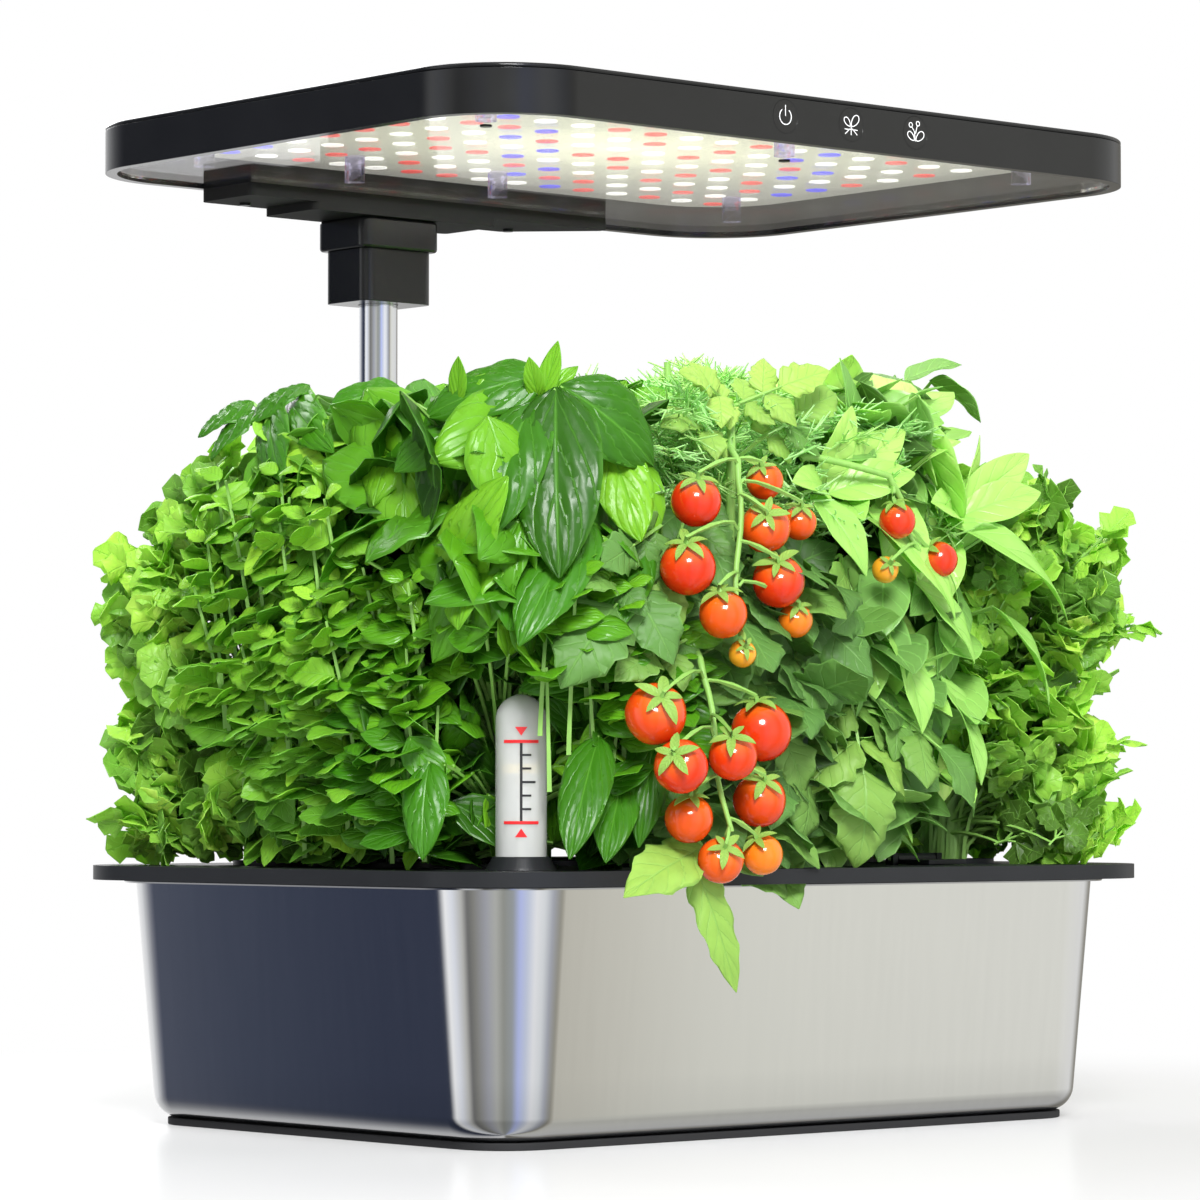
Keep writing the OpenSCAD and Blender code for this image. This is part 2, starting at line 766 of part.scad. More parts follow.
module pump_riser() {
    z = pump_z + pump_h;
    color([0.12, 0.12, 0.13]) translate([pump_x + pump_w / 2 - chamber_d / 2, pump_y, z])
        tube(riser_r, riser_r - riser_wall, deck_z - z);
}

// ---------- lamp ----------

module lamp_frame() {
    color([0.1, 0.1, 0.11]) difference() {
        union() {
            translate([0, 0, lamp_z]) ring(lamp_w, lamp_d, lamp_corner_r, lamp_wall, lamp_h - top_t);
            translate([0, 0, board_z + board_t])
                ring(lamp_in_w + 2 * eps, lamp_in_d + 2 * eps, lamp_in_r, ledge_w,
                    top_z - board_z - board_t);
            translate([bracket_x - bracket_w / 2, bracket_y - bracket_d / 2, lamp_z])
                cube([bracket_w, lamp_d / 2 - lamp_wall + 1 - bracket_y + bracket_d / 2, shelf_t]);
        }
        for (n = [-1 : 1]) at_button(n)
            translate([0, 0, -1]) cylinder(r = button_r + button_fit, h = lamp_wall + 2);
        button_rooms();
        at_bracket_screws() translate([0, 0, lamp_z - 1]) cylinder(r = screw_r, h = 3);
    }
}

module top_cover() {
    color([0.1, 0.1, 0.11]) translate([0, 0, top_z]) slab(lamp_w, lamp_d, lamp_corner_r, top_t);
}

module light_board() {
    color([0.93, 0.92, 0.86]) difference() {
        translate([0, 0, board_z]) slab(lens_w, lens_d, lens_r, board_t);
        button_rooms();
    }
}

module lights(kind) {
    for (i = [0 : led_cols - 1], j = [0 : led_rows - 1])
        if (led_kind(i, j) == kind)
            translate([led_x(i), led_y(j), board_z - led_h]) cylinder(r = led_r, h = led_h, $fn = 24);
}

module cover_posts() {
    color([0.9, 0.88, 0.95, 0.5]) for (post = posts)
        translate([post[0], post[1], lens_z + lens_t]) cylinder(r = post_r, h = board_z - lens_z - lens_t);
}

module cover_screws() {
    color([0.05, 0.05, 0.05]) for (x = [post_xs[0], post_xs[1]])
        translate([x, post_ys[0], lens_z - cover_screw_head_h])
            cylinder(r = screw_head_r, h = cover_screw_head_h);
}

module lens_cover() {
    color([0.95, 0.97, 1, 0.2]) difference() {
        translate([0, 0, lens_z]) slab(lens_w, lens_d, lens_r, lens_t);
        translate([bracket_x - bracket_w / 2 - lamp_gap, bracket_y - bracket_d / 2 - lamp_gap, lens_z - 1])
            cube([bracket_w + 2 * lamp_gap, bracket_d + lamp_wall + 2, lens_t + 2]);
    }
}

module lamp_bracket() {
    color([0.08, 0.08, 0.09]) difference() {
        union() {
            translate([bracket_x, bracket_y, lamp_z - bracket_t]) linear_extrude(height = bracket_t) bracket_plan();
            translate([pole_x, bracket_y, rib_z]) slab(rib_w, bracket_d, bracket_corner_r, rib_h + eps);
        }
        at_bracket_screws() translate([0, 0, lamp_z - bracket_t - 1])
            cylinder(r = screw_r, h = bracket_t + 2);
    }
}

// A plate with a square left end and a right end that narrows towards the front
module bracket_plan() {
    x = bracket_w / 2 - bracket_taper;
    y = bracket_d / 2;
    translate([-bracket_taper / 2, 0]) rounded_rect(bracket_w - bracket_taper, bracket_d, bracket_corner_r);
    polygon([[x - bracket_corner_r, -y], [x + bracket_taper, -y], [x + bracket_taper, bracket_tip - y],
        [x, y], [x - bracket_corner_r, y]]);
}

module at_bracket_screws() {
    for (x = [bracket_screw_inset - bracket_w / 2, bracket_w / 2 - bracket_taper - bracket_corner_r])
        translate([bracket_x + x, bracket_y + bracket_d / 4, 0]) children();
}

module bracket_screws() {
    color([0.25, 0.25, 0.26]) at_bracket_screws() {
        translate([0, 0, lamp_z - bracket_t]) cylinder(r = screw_r, h = bracket_screw_l);
        translate([0, 0, lamp_z - bracket_t - bracket_screw_head_h])
            cylinder(r = screw_head_r, h = bracket_screw_head_h);
    }
}

// ---------- buttons ----------

// Places children at button n, with their z axis running into the lamp
module at_button(n) {
    translate([button_x + n * button_pitch, -lamp_d / 2, button_z]) rotate([-90, 0, 0]) children();
}

// Room for the button flanges behind the front wall, from the lens to the cover
module button_rooms() {
    for (n = [-1 : 1]) at_button(n) translate([-button_room_w / 2, -lamp_h, lamp_wall])
        cube([button_room_w, 2 * lamp_h, button_room_d]);
}

module button(n) {
    color([0.14, 0.14, 0.15]) at_button(n) {
        cylinder(r = button_r, h = lamp_wall + button_slack);
        translate([0, 0, lamp_wall + button_slack]) cylinder(r = button_flange_r, h = button_flange_t);
    }
}

module control_board() {
    color([0.1, 0.35, 0.2]) {
        translate([button_x - control_w / 2, switch_y + switch_h, board_z - control_h])
            cube([control_w, control_t, control_h]);
        for (n = [-1 : 1]) translate([button_x + n * button_pitch, switch_y, button_z])
            rotate([-90, 0, 0]) cylinder(r = switch_r, h = switch_h + eps);
    }
}

// ---------- plants ----------

// The edges of the cell that plant [c, r] grows in
function cell_x0(c) = c == 0 ? -foliage_w / 2 : pod_x(c) - pod_pitch_x / 2 + plant_gap / 2;
function cell_x1(c) = c == pod_cols - 1 ? foliage_w / 2 : pod_x(c) + pod_pitch_x / 2 - plant_gap / 2;
function cell_y0(r) = r == 0 ? -foliage_front : pod_y(r) - pod_pitch_y / 2 + plant_gap / 2;
function cell_y1(r) = r == pod_rows - 1 ? foliage_back : pod_y(r) + pod_pitch_y / 2 - plant_gap / 2;

// One tuft of plant [c, r], of size [w, d] about [x, y], that reaches h above the deck
module tuft(c, r, at, size, h) {
    hull() {
        translate([pod_x(c), pod_y(r), sponge_top + plant_stem_h - 2])
            cylinder(r = plant_foot_r, h = tuft_slab, $fn = tuft_fn);
        for (layer = tuft_layers)
            translate([at[0], at[1], deck_top + h * layer[0] - tuft_slab])
                slab(size[0] - 2 * layer[1], size[1] - 2 * layer[1], tuft_r - layer[1], tuft_slab, $fn = tuft_fn);
    }
}

module plant(c, r, h, fall = herb_fall) {
    middle = [cell_x0(c) + cell_x1(c), cell_y0(r) + cell_y1(r)] / 2;
    cell = [cell_x1(c) - cell_x0(c), cell_y1(r) - cell_y0(r)];
    shift = cell * (1 - tuft_share) / 2;
    translate([pod_x(c), pod_y(r), sponge_top]) cylinder(r = stem_r, h = plant_stem_h, $fn = 12);
    tuft(c, r, middle, cell * tuft_share, h);
    for (k = tuft_corners) {
        outer = k[0] * pod_x(c) > 0 && k[1] * pod_y(r) > 0;
        share = k[2] - (outer ? fall : 0);
        tuft(c, r, middle + [k[0] * shift[0], k[1] * shift[1]], cell * tuft_share, h * share);
    }
}

// A front plant that leaves room for the fill flap to swing up
module plant_by_flap(c, r, h, fall = herb_fall) {
    w = flap_w + 2 * (flap_ear + flap_space);
    difference() {
        plant(c, r, h, fall);
        translate([flap_x - w / 2, flap_hinge_y - flap_d - flap_space, 0])
            cube([w, flap_d + flap_barrel_r + 2 * flap_space, flap_axis_z + flap_d + flap_space]);
    }
}

module parsley_plants() {
    color([0.32, 0.6, 0.16]) {
        plant(0, 2, parsley_h, parsley_fall);
        plant_by_flap(3, 0, parsley_h, parsley_fall);
        plant(3, 2, parsley_h, parsley_fall);
    }
}

module mint_plant() {
    color([0.25, 0.52, 0.15]) plant(0, 1, mint_h);
}

// The front left basil leaves the corner clear for the gauge
module basil_plants() {
    edge = gauge_r + gauge_space;
    color([0.2, 0.55, 0.12]) {
        plant(1, 1, basil_h);
        plant(1, 2, basil_h);
        difference() {
            plant(0, 0, basil_h);
            translate([-deck_w, -deck_d, 0])
                cube([deck_w + gauge_x + edge, deck_d + gauge_y + edge, deck_top + gauge_h + gauge_space]);
        }
    }
}

module dill_plants() {
    color([0.5, 0.68, 0.4]) {
        plant(2, 1, dill_h);
        plant(2, 2, dill_h);
    }
}

module pepper_plants() {
    color([0.3, 0.62, 0.2]) {
        plant_by_flap(2, 0, pepper_h);
        plant(3, 1, pepper_h);
    }
}

// The point of a truss beside height z
function truss_at(t, z) =
    let (k = max(0, min(1, (t[0][2] - z) / (t[0][2] - t[1][2])))) t[0] + (t[1] - t[0]) * k;
function over_deck(p) = [p[0], p[1], p[2] + deck_top];

module truss(t, fruit) {
    stalk(over_deck(t[0] + t[2]), over_deck(t[0]), truss_r);
    stalk(over_deck(t[0]), over_deck(t[1]), truss_r);
    for (f = fruit)
        stalk(over_deck(truss_at(t, f[2] + f[3] + 6)), over_deck([f[0], f[1], f[2] + f[3]]), truss_r / 2);
}

module tomato_plant() {
    color([0.36, 0.6, 0.24]) {
        plant(1, 0, tomato_h);
        truss(upper_truss, upper_fruit);
        truss(lower_truss, lower_fruit);
        truss(side_truss, side_fruit);
    }
}

module tomato_fruit() {
    color([0.88, 0.16, 0.05]) for (f = concat(upper_fruit, lower_fruit, side_fruit))
        translate(over_deck([f[0], f[1], f[2]])) sphere(r = f[3], $fn = 48);
}

// ---------- the nodes ----------

base_pad();
water_tank();
grow_deck();
grow_sponges();
gauge_collar();
gauge_tube();
gauge_scale();
pole_base();
base_screws();
lower_pole();
pole_bush();
power_inlet();
flap_pin();
pump_body();
pump_cover();
pump_riser();
impeller_shaft();
basket(1);  // basket_1
basket(2);  // basket_2
basket(3);  // basket_3
basket(4);  // basket_4
basket(5);  // basket_5
basket(6);  // basket_6
basket(7);  // basket_7
basket(8);  // basket_8
basket(9);  // basket_9
basket(10);  // basket_10
basket(11);  // basket_11
basket(12);  // basket_12
parsley_plants();
mint_plant();
basil_plants();
tomato_plant();
tomato_fruit();
dill_plants();
pepper_plants();
float_body();
float_rod();
float_marker();
fill_flap();
impeller();
upper_pole();
pole_head();
lamp_socket();
lamp_bracket();
bracket_screws();
lamp_frame();
top_cover();
light_board();
color([1, 1, 0.95]) lights(0);  // white_lights
color([0.95, 0.2, 0.2]) lights(1);  // red_lights
color([0.25, 0.2, 0.95]) lights(2);  // blue_lights
cover_posts();
cover_screws();
lens_cover();
control_board();
button(-1);  // power_button
button(0);  // leaf_button
button(1);  // fruit_button
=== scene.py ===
"""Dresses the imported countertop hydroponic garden: steel tank, grow deck, level gauge,
telescopic pole, grow lamp, and the herbs, peppers and tomatoes that grow in its baskets."""

import contextlib
import json
import math
from collections import namedtuple
from functools import partial

import bpy
import numpy as np
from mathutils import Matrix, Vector


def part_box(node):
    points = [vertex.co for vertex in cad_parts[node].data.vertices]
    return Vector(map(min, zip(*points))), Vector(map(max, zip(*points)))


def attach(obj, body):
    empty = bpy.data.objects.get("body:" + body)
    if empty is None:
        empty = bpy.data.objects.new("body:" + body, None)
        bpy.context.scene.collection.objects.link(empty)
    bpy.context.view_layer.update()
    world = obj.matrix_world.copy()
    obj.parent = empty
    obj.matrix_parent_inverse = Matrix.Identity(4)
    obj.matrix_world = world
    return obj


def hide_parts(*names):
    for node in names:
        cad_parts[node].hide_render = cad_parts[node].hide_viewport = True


bl_info = {
    "name": "Countertop hydroponic garden",
    "version": (1, 0, 0),
    "blender": (4, 5, 0),
    "location": "View3D > Sidebar > Garden",
    "description": "Builds the visible pieces of a countertop hydroponic garden",
    "category": "Add Mesh",
}

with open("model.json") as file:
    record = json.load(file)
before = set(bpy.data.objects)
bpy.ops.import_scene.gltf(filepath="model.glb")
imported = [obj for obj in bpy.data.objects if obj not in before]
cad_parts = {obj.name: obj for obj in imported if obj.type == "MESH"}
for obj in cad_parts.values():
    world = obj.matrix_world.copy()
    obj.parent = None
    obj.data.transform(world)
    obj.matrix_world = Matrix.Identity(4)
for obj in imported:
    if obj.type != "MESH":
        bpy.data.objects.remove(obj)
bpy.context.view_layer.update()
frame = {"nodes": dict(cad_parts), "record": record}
BOX = {name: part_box(name) for name in frame["nodes"]}
DECK_TOP = BOX["grow_sponges"][1].z - 0.001
MM = 0.001
# How near two points are merged
WELD = 0.00001
UP = np.array([0.0, 0.0, 1.0])
# Multiplied with a place, gives the level way out from the middle
OUTWARD = np.array([1.0, 1.0, 0.0])


def length(name, default, description, low=0.0, high=2.0):
    """A size property in metres."""
    return bpy.props.FloatProperty(
        name=name, default=default, description=description, min=low, max=high,
        subtype="DISTANCE", unit="LENGTH", precision=4)


def colour(name, default, description):
    """A colour property, scene linear."""
    return bpy.props.FloatVectorProperty(
        name=name, default=default, description=description, size=3, min=0.0, max=1.0,
        subtype="COLOR")


class GardenSizes(bpy.types.PropertyGroup):
    """Sizes of the modelled pieces."""

    edge: length("Moulded edge", 0.0008, "Rounding of the plastic edges", 0.0001, 0.003)
    rim_edge: length("Deck edge", 0.0014, "Rounding of the grow deck's rim", 0.0002, 0.003)
    tank_corner: length("Tank corner", 0.037, "Radius of the tank's upright corners", 0.02, 0.06)
    tank_lean: length("Tank lean", 0.0087, "How far each tank wall leans in", 0.0, 0.02)
    tank_edge: length("Tank edge", 0.0095, "Radius of the tank's rolled bottom edge", 0.002, 0.02)
    tank_wall: length("Tank wall", 0.0012, "Thickness of the tank's steel", 0.0005, 0.003)
    icon_line: length("Icon line", 0.00034, "Line width of the button icons", 0.0002, 0.001)
    light_rise: bpy.props.FloatProperty(
        name="Light height", default=0.4, description="Share of a light's height that shows", min=0.1, max=1.0)
    leaf_thickness: length("Leaf thickness", 0.00025, "Thickness of a leaf", 0.0001, 0.001)
    seed: bpy.props.IntProperty(
        name="Seed", default=7, description="Random seed of the plants", min=0, max=999)


class GardenColours(bpy.types.PropertyGroup):
    """Colours of the finishes."""

    plastic: colour("Plastic", (0.0066, 0.0068, 0.0073), "Black plastic of the lamp and pole head")
    deck: colour("Deck", (0.013, 0.014, 0.016), "Black plastic of the grow deck")
    steel: colour("Steel", (0.86, 0.86, 0.86), "Polished steel of the tank")
    basil: colour("Basil", (0.075, 0.32, 0.012), "Basil leaves")
    mint: colour("Mint", (0.16, 0.45, 0.035), "Mint leaves")
    parsley: colour("Parsley", (0.25, 0.55, 0.075), "Parsley leaves")
    tomato_leaf: colour("Tomato leaf", (0.16, 0.38, 0.08), "Tomato leaves")
    pepper: colour("Pepper", (0.27, 0.54, 0.14), "Pepper leaves")
    dill: colour("Dill", (0.55, 0.84, 0.26), "Dill fronds")
    tomato: colour("Tomato", (0.66, 0.026, 0.003), "Ripe tomatoes")
    orange: colour("Orange tomato", (0.80, 0.17, 0.008), "Tomatoes that are turning")


def sizes():
    """The scene's size settings."""
    return bpy.context.scene.garden_sizes


def colours():
    """The scene's colour settings."""
    return bpy.context.scene.garden_colours


# ---------- materials ----------

class Tree:
    """A small helper that builds a tree of shader nodes."""

    def __init__(self, owner):
        owner.use_nodes = True
        self.tree = owner.node_tree

    def feed(self, socket, value):
        """Gives an input its value: an output of another node, a colour or a number."""
        if isinstance(value, bpy.types.NodeSocket):
            self.tree.links.new(value, socket)
        else:
            socket.default_value = (*value, 1.0) if isinstance(value, tuple) else value

    def add(self, kind, *values, **settings):
        """Adds a node, sets its properties and feeds its first inputs."""
        node = self.tree.nodes.new(kind)
        for key, value in settings.items():
            setattr(node, key, value)
        for socket, value in zip(node.inputs, values):
            self.feed(socket, value)
        return node

    def maths(self, operation, *values, clamp=False):
        """A Math node on sockets or numbers."""
        return self.add("ShaderNodeMath", *values, operation=operation, use_clamp=clamp).outputs[0]

    def mix(self, factor, a, b, kind="MIX"):
        """Mixes two colours, each a socket or a tuple."""
        node = self.add("ShaderNodeMix", factor, data_type="RGBA", blend_type=kind)
        self.feed(node.inputs[6], a)
        self.feed(node.inputs[7], b)
        return node.outputs[2]

    def blend(self, factor, first, second):
        """Mixes two shader nodes."""
        return self.add("ShaderNodeMixShader", factor, first.outputs[0], second.outputs[0])

    def steps(self, source, stops, smooth=False):
        """A colour ramp with stops of (place, colour)."""
        ramp = self.add("ShaderNodeValToRGB", source)
        ramp.color_ramp.interpolation = "EASE" if smooth else "LINEAR"
        elements = ramp.color_ramp.elements
        while len(elements) < len(stops):
            elements.new(0.5)
        for element, (place, shade) in zip(elements, stops):
            element.position = place
            element.color = (*shade, 1.0)
        return ramp.outputs[0]

    def split(self, vector):
        """The X, Y and Z of a vector."""
        return self.add("ShaderNodeSeparateXYZ", vector).outputs

    def place(self, stretch=(1, 1, 1)):
        """Object coordinates, stretched."""
        mapping = self.add("ShaderNodeMapping", self.add("ShaderNodeTexCoord").outputs["Object"])
        mapping.inputs["Scale"].default_value = stretch
        return mapping.outputs[0]

    def reach(self, stretch=(1, 1, 1)):
        """The distance from the object's origin, in stretched coordinates."""
        return self.add("ShaderNodeVectorMath", self.place(stretch), operation="LENGTH").outputs["Value"]

    def noise(self, scale, detail=3.0, stretch=(1, 1, 1)):
        """Noise on object coordinates, in repeats per metre."""
        noise = self.add("ShaderNodeTexNoise", self.place(stretch))
        noise.inputs["Scale"].default_value = scale
        noise.inputs["Detail"].default_value = detail
        return noise.outputs["Fac"]


class Paint(Tree):
    """One material, built round its principled shader."""

    def __init__(self, name):
        self.material = bpy.data.materials.new(name)
        super().__init__(self.material)
        self.shader = self.tree.nodes["Principled BSDF"]

    def set(self, **values):
        """Feeds shader inputs by name, with _ for a space."""
        for key, value in values.items():
            self.feed(self.shader.inputs[key.replace("_", " ")], value)
        return self

    def bump(self, height, strength, distance):
        """Bumps the shader's surface."""
        node = self.add("ShaderNodeBump")
        for name, value in (("Strength", strength), ("Distance", distance), ("Height", height)):
            self.feed(node.inputs[name], value)
        self.feed(self.shader.inputs["Normal"], node.outputs[0])

    def show(self, node):
        """Makes a shader node the surface, and gives the finished material."""
        self.feed(self.tree.nodes["Material Output"].inputs["Surface"], node.outputs[0])
        return self.material


def plastic(name, base, roughness, grain=0.12, shine=0.5):
    """Moulded plastic with a fine spark-eroded grain."""
    paint = Paint(name)
    cloud = paint.noise(35.0, 2.0)
    lighter = tuple(min(1.0, c * 1.25 + 0.002) for c in base)
    paint.set(Specular_IOR_Level=shine, Base_Color=paint.mix(cloud, base, lighter),
              Roughness=paint.maths("MULTIPLY_ADD", cloud, 0.08, roughness - 0.04))
    paint.bump(paint.noise(2600.0, 2.0), grain, 0.00003)
    return paint.material


def metal(name, base, roughness, grain=0.04, stretch=(1, 1, 1)):
    """Polished metal with faint drawing marks."""
    paint = Paint(name)
    marks = paint.noise(220.0, 3.0, stretch)
    darker = tuple(c * 0.94 for c in base)
    paint.set(Metallic=1.0, Base_Color=paint.mix(marks, darker, base),
              Roughness=paint.maths("MULTIPLY_ADD", marks, roughness * 0.5, roughness * 0.75))
    paint.bump(marks, grain, 0.00002)
    return paint.material


def clear(name, tint, roughness, milk, frost=0.0):
    """Clear plastic; milk is how cloudy it is, frost how much light its skin scatters."""
    paint = Paint(name)
    cloud = paint.noise(60.0, 2.0)
    paler = tuple(c * 0.96 for c in tint)
    paint.set(Transmission_Weight=1.0 - frost, IOR=1.46, Base_Color=paint.mix(cloud, paler, tint),
              Roughness=paint.maths("MULTIPLY_ADD", cloud, 0.03, roughness))
    return paint.show(paint.blend(milk, paint.add("ShaderNodeBsdfTransparent", tint), paint.shader))


def sheet_glass(name, tint, veil=0.55):
    """A clear sheet: see-through face on, a mirror at grazing angles; veil is the mirror's strength."""
    paint = Paint(name)
    paint.set(Roughness=0.03, IOR=1.49,
              Base_Color=paint.mix(paint.noise(40.0, 2.0), tint, tuple(c * 0.97 for c in tint)))
    gloss = paint.add("ShaderNodeBsdfGlossy")
    gloss.inputs["Roughness"].default_value = 0.04
    grazing = paint.add("ShaderNodeFresnel", 1.35).outputs[0]
    return paint.show(paint.blend(paint.maths("MULTIPLY", grazing, veil),
                                  paint.add("ShaderNodeBsdfTransparent", tint), gloss))


def glow(name, base, strength, rim):
    """A light-emitting dome in two close tints."""
    paint = Paint(name)
    tint = paint.mix(paint.noise(90.0, 1.0), base, rim)
    return paint.set(Roughness=0.3, Emission_Strength=strength, Base_Color=tint, Emission_Color=tint).material


def board_finish(name):
    """Warm white board with a painted glow for the light of its own lights, brightest towards the middle."""
    paint = Paint(name)
    low, high = BOX["light_board"]
    shade = paint.steps(paint.reach((2 / (high.x - low.x), 2 / (high.y - low.y), 0.0)), [
        (0.0, (1.0, 0.96, 0.80)), (0.25, (0.86, 0.82, 0.66)), (0.5, (0.62, 0.60, 0.49)),
        (0.85, (0.44, 0.43, 0.36)), (1.0, (0.38, 0.37, 0.32))], True)
    paint.set(Roughness=0.45, Emission_Strength=1.9, Emission_Color=shade, Base_Color=shade)
    paint.bump(paint.noise(900.0), 0.05, 0.00002)
    return paint.material


def scale_finish(name, band=0.00121):
    """Black print with red low and high marks, each as tall as the band."""
    paint = Paint(name)
    low, high = BOX["gauge_scale"]
    level = paint.split(paint.place())["Z"]
    above = paint.maths("GREATER_THAN", level, high.z - band)
    below = paint.maths("LESS_THAN", level, low.z + band)
    marks = paint.maths("ADD", above, below, clamp=True)
    ink = paint.mix(paint.noise(400.0), (0.012, 0.012, 0.014), (0.02, 0.02, 0.022))
    return paint.set(Roughness=0.4, Base_Color=paint.mix(marks, ink, (0.75, 0.015, 0.02))).material


def sponge_finish(name):
    """Brown open-cell grow sponge."""
    paint = Paint(name)
    cells = paint.noise(900.0, 4.0)
    paint.set(Roughness=0.95, Base_Color=paint.mix(cells, (0.05, 0.03, 0.018), (0.28, 0.19, 0.11)))
    paint.bump(cells, 0.8, 0.0006)
    return paint.material


def leaf_finish(name, base, gloss, veins, slant, vein_tint, pucker, pale=(0.6, 0.8, 0.3)):
    """A leaf with a midrib, side veins, puckers between them, a painted pale rim light along its edge, and a tint
    that carries painted light and shade besides its own variation.
    """
    paint = Paint(name)
    uv = paint.split(paint.add("ShaderNodeUVMap", uv_map="UVMap").outputs[0])

    def line(distance, thinness):
        """One on the line, and nothing a little way from it."""
        return paint.maths("SUBTRACT", 1.0, paint.maths("MULTIPLY", distance, thinness), clamp=True)

    side = paint.maths("MULTIPLY", paint.maths("ABSOLUTE", paint.maths("SUBTRACT", uv["X"], 0.5)), 2.0)
    run = paint.maths("SUBTRACT", paint.maths("MULTIPLY", uv["Y"], veins), paint.maths("MULTIPLY", side, slant))
    wave = paint.maths("PINGPONG", run, 0.5)
    midrib, branch = line(side, 16.0), line(wave, 11.0)
    # Painted rim light: a pale band along the leaf's edge, joined to the veins in the pale lines.
    painted_rim_light = paint.maths("MULTIPLY_ADD", side, 9.0, -8.1, clamp=True)
    lines = paint.maths("MAXIMUM", midrib, paint.maths("MULTIPLY", branch, 0.55))
    lines = paint.maths("MAXIMUM", lines, paint.maths("MULTIPLY", painted_rim_light, 0.7))
    tint = paint.add("ShaderNodeAttribute", attribute_name="tint").outputs["Fac"]
    # The tint carries painted light and shade: dark for leaves in shade inside the crown, light and sunlit for lit
    # leaves.
    dark = tuple(c * 0.30 for c in base)
    light = (min(0.56, base[0] * 2.2 + 0.03), min(0.95, base[1] * 1.75), base[2] * 1.5)
    sunlit = (min(0.72, base[0] * 3.0 + 0.08), min(0.97, base[1] * 2.0 + 0.08), base[2] * 1.9 + 0.01)
    body = paint.steps(tint, [(0.0, dark), (0.42, base), (0.72, light), (1.0, sunlit)])
    cloud = paint.noise(130.0, 3.0)
    body = paint.mix(paint.maths("MULTIPLY", cloud, 0.28), body, dark)
    vein_colour = tuple(min(1.0, c * 1.6 + 0.16 * p) for c, p in zip(base, pale))
    skin = paint.mix(paint.maths("MULTIPLY", lines, vein_tint), body, vein_colour)
    paint.set(Specular_IOR_Level=0.5, Base_Color=skin,
              Roughness=paint.maths("MULTIPLY_ADD", cloud, 0.16, gloss - 0.08))
    hollow = paint.maths("ADD", paint.maths("MULTIPLY", lines, -1.0), paint.maths("MULTIPLY", wave, pucker))
    paint.bump(paint.maths("ADD", hollow, paint.maths("MULTIPLY", cloud, 0.5)), 0.5, 0.0008)
    through = paint.add("ShaderNodeBsdfTranslucent", paint.mix(0.5, skin, light))
    return paint.show(paint.blend(0.36, paint.shader, through))


def stem_finish(name, base):
    """Pale ribbed stems."""
    paint = Paint(name)
    streak = paint.noise(500.0, 2.0, (1, 1, 0.15))
    paler = tuple(min(1.0, c * 1.5) for c in base)
    paint.set(Roughness=0.5, Base_Color=paint.mix(streak, base, paler))
    paint.bump(streak, 0.3, 0.0003)
    return paint.material


def fruit_finish(name):
    """Thin shiny tomato skin, orange about the stalk, from a per-fruit ripeness."""
    paint = Paint(name)
    tone = colours()
    skin = paint.steps(paint.add("ShaderNodeAttribute", attribute_name="tint").outputs["Fac"], [
        (0.0, (0.42, 0.46, 0.03)), (0.25, (0.85, 0.38, 0.02)), (0.5, tone.orange),
        (0.8, tone.tomato), (1.0, (0.62, 0.012, 0.004))])
    up = paint.split(paint.add("ShaderNodeUVMap", uv_map="UVMap").outputs[0])["Y"]
    shoulder = paint.maths("MULTIPLY", paint.steps(up, [(0.62, (0, 0, 0)), (1.0, (1, 1, 1))], True), 0.6)
    skin = paint.mix(shoulder, skin, (0.95, 0.24, 0.015))
    skin = paint.mix(paint.maths("MULTIPLY", paint.noise(70.0), 0.3), skin, (0.9, 0.12, 0.01))
    paint.set(Coat_Weight=0.4, Coat_Roughness=0.05, Specular_IOR_Level=0.5, Roughness=0.16, Base_Color=skin)
    paint.bump(paint.noise(160.0, 1.0), 0.04, 0.0004)
    return paint.material


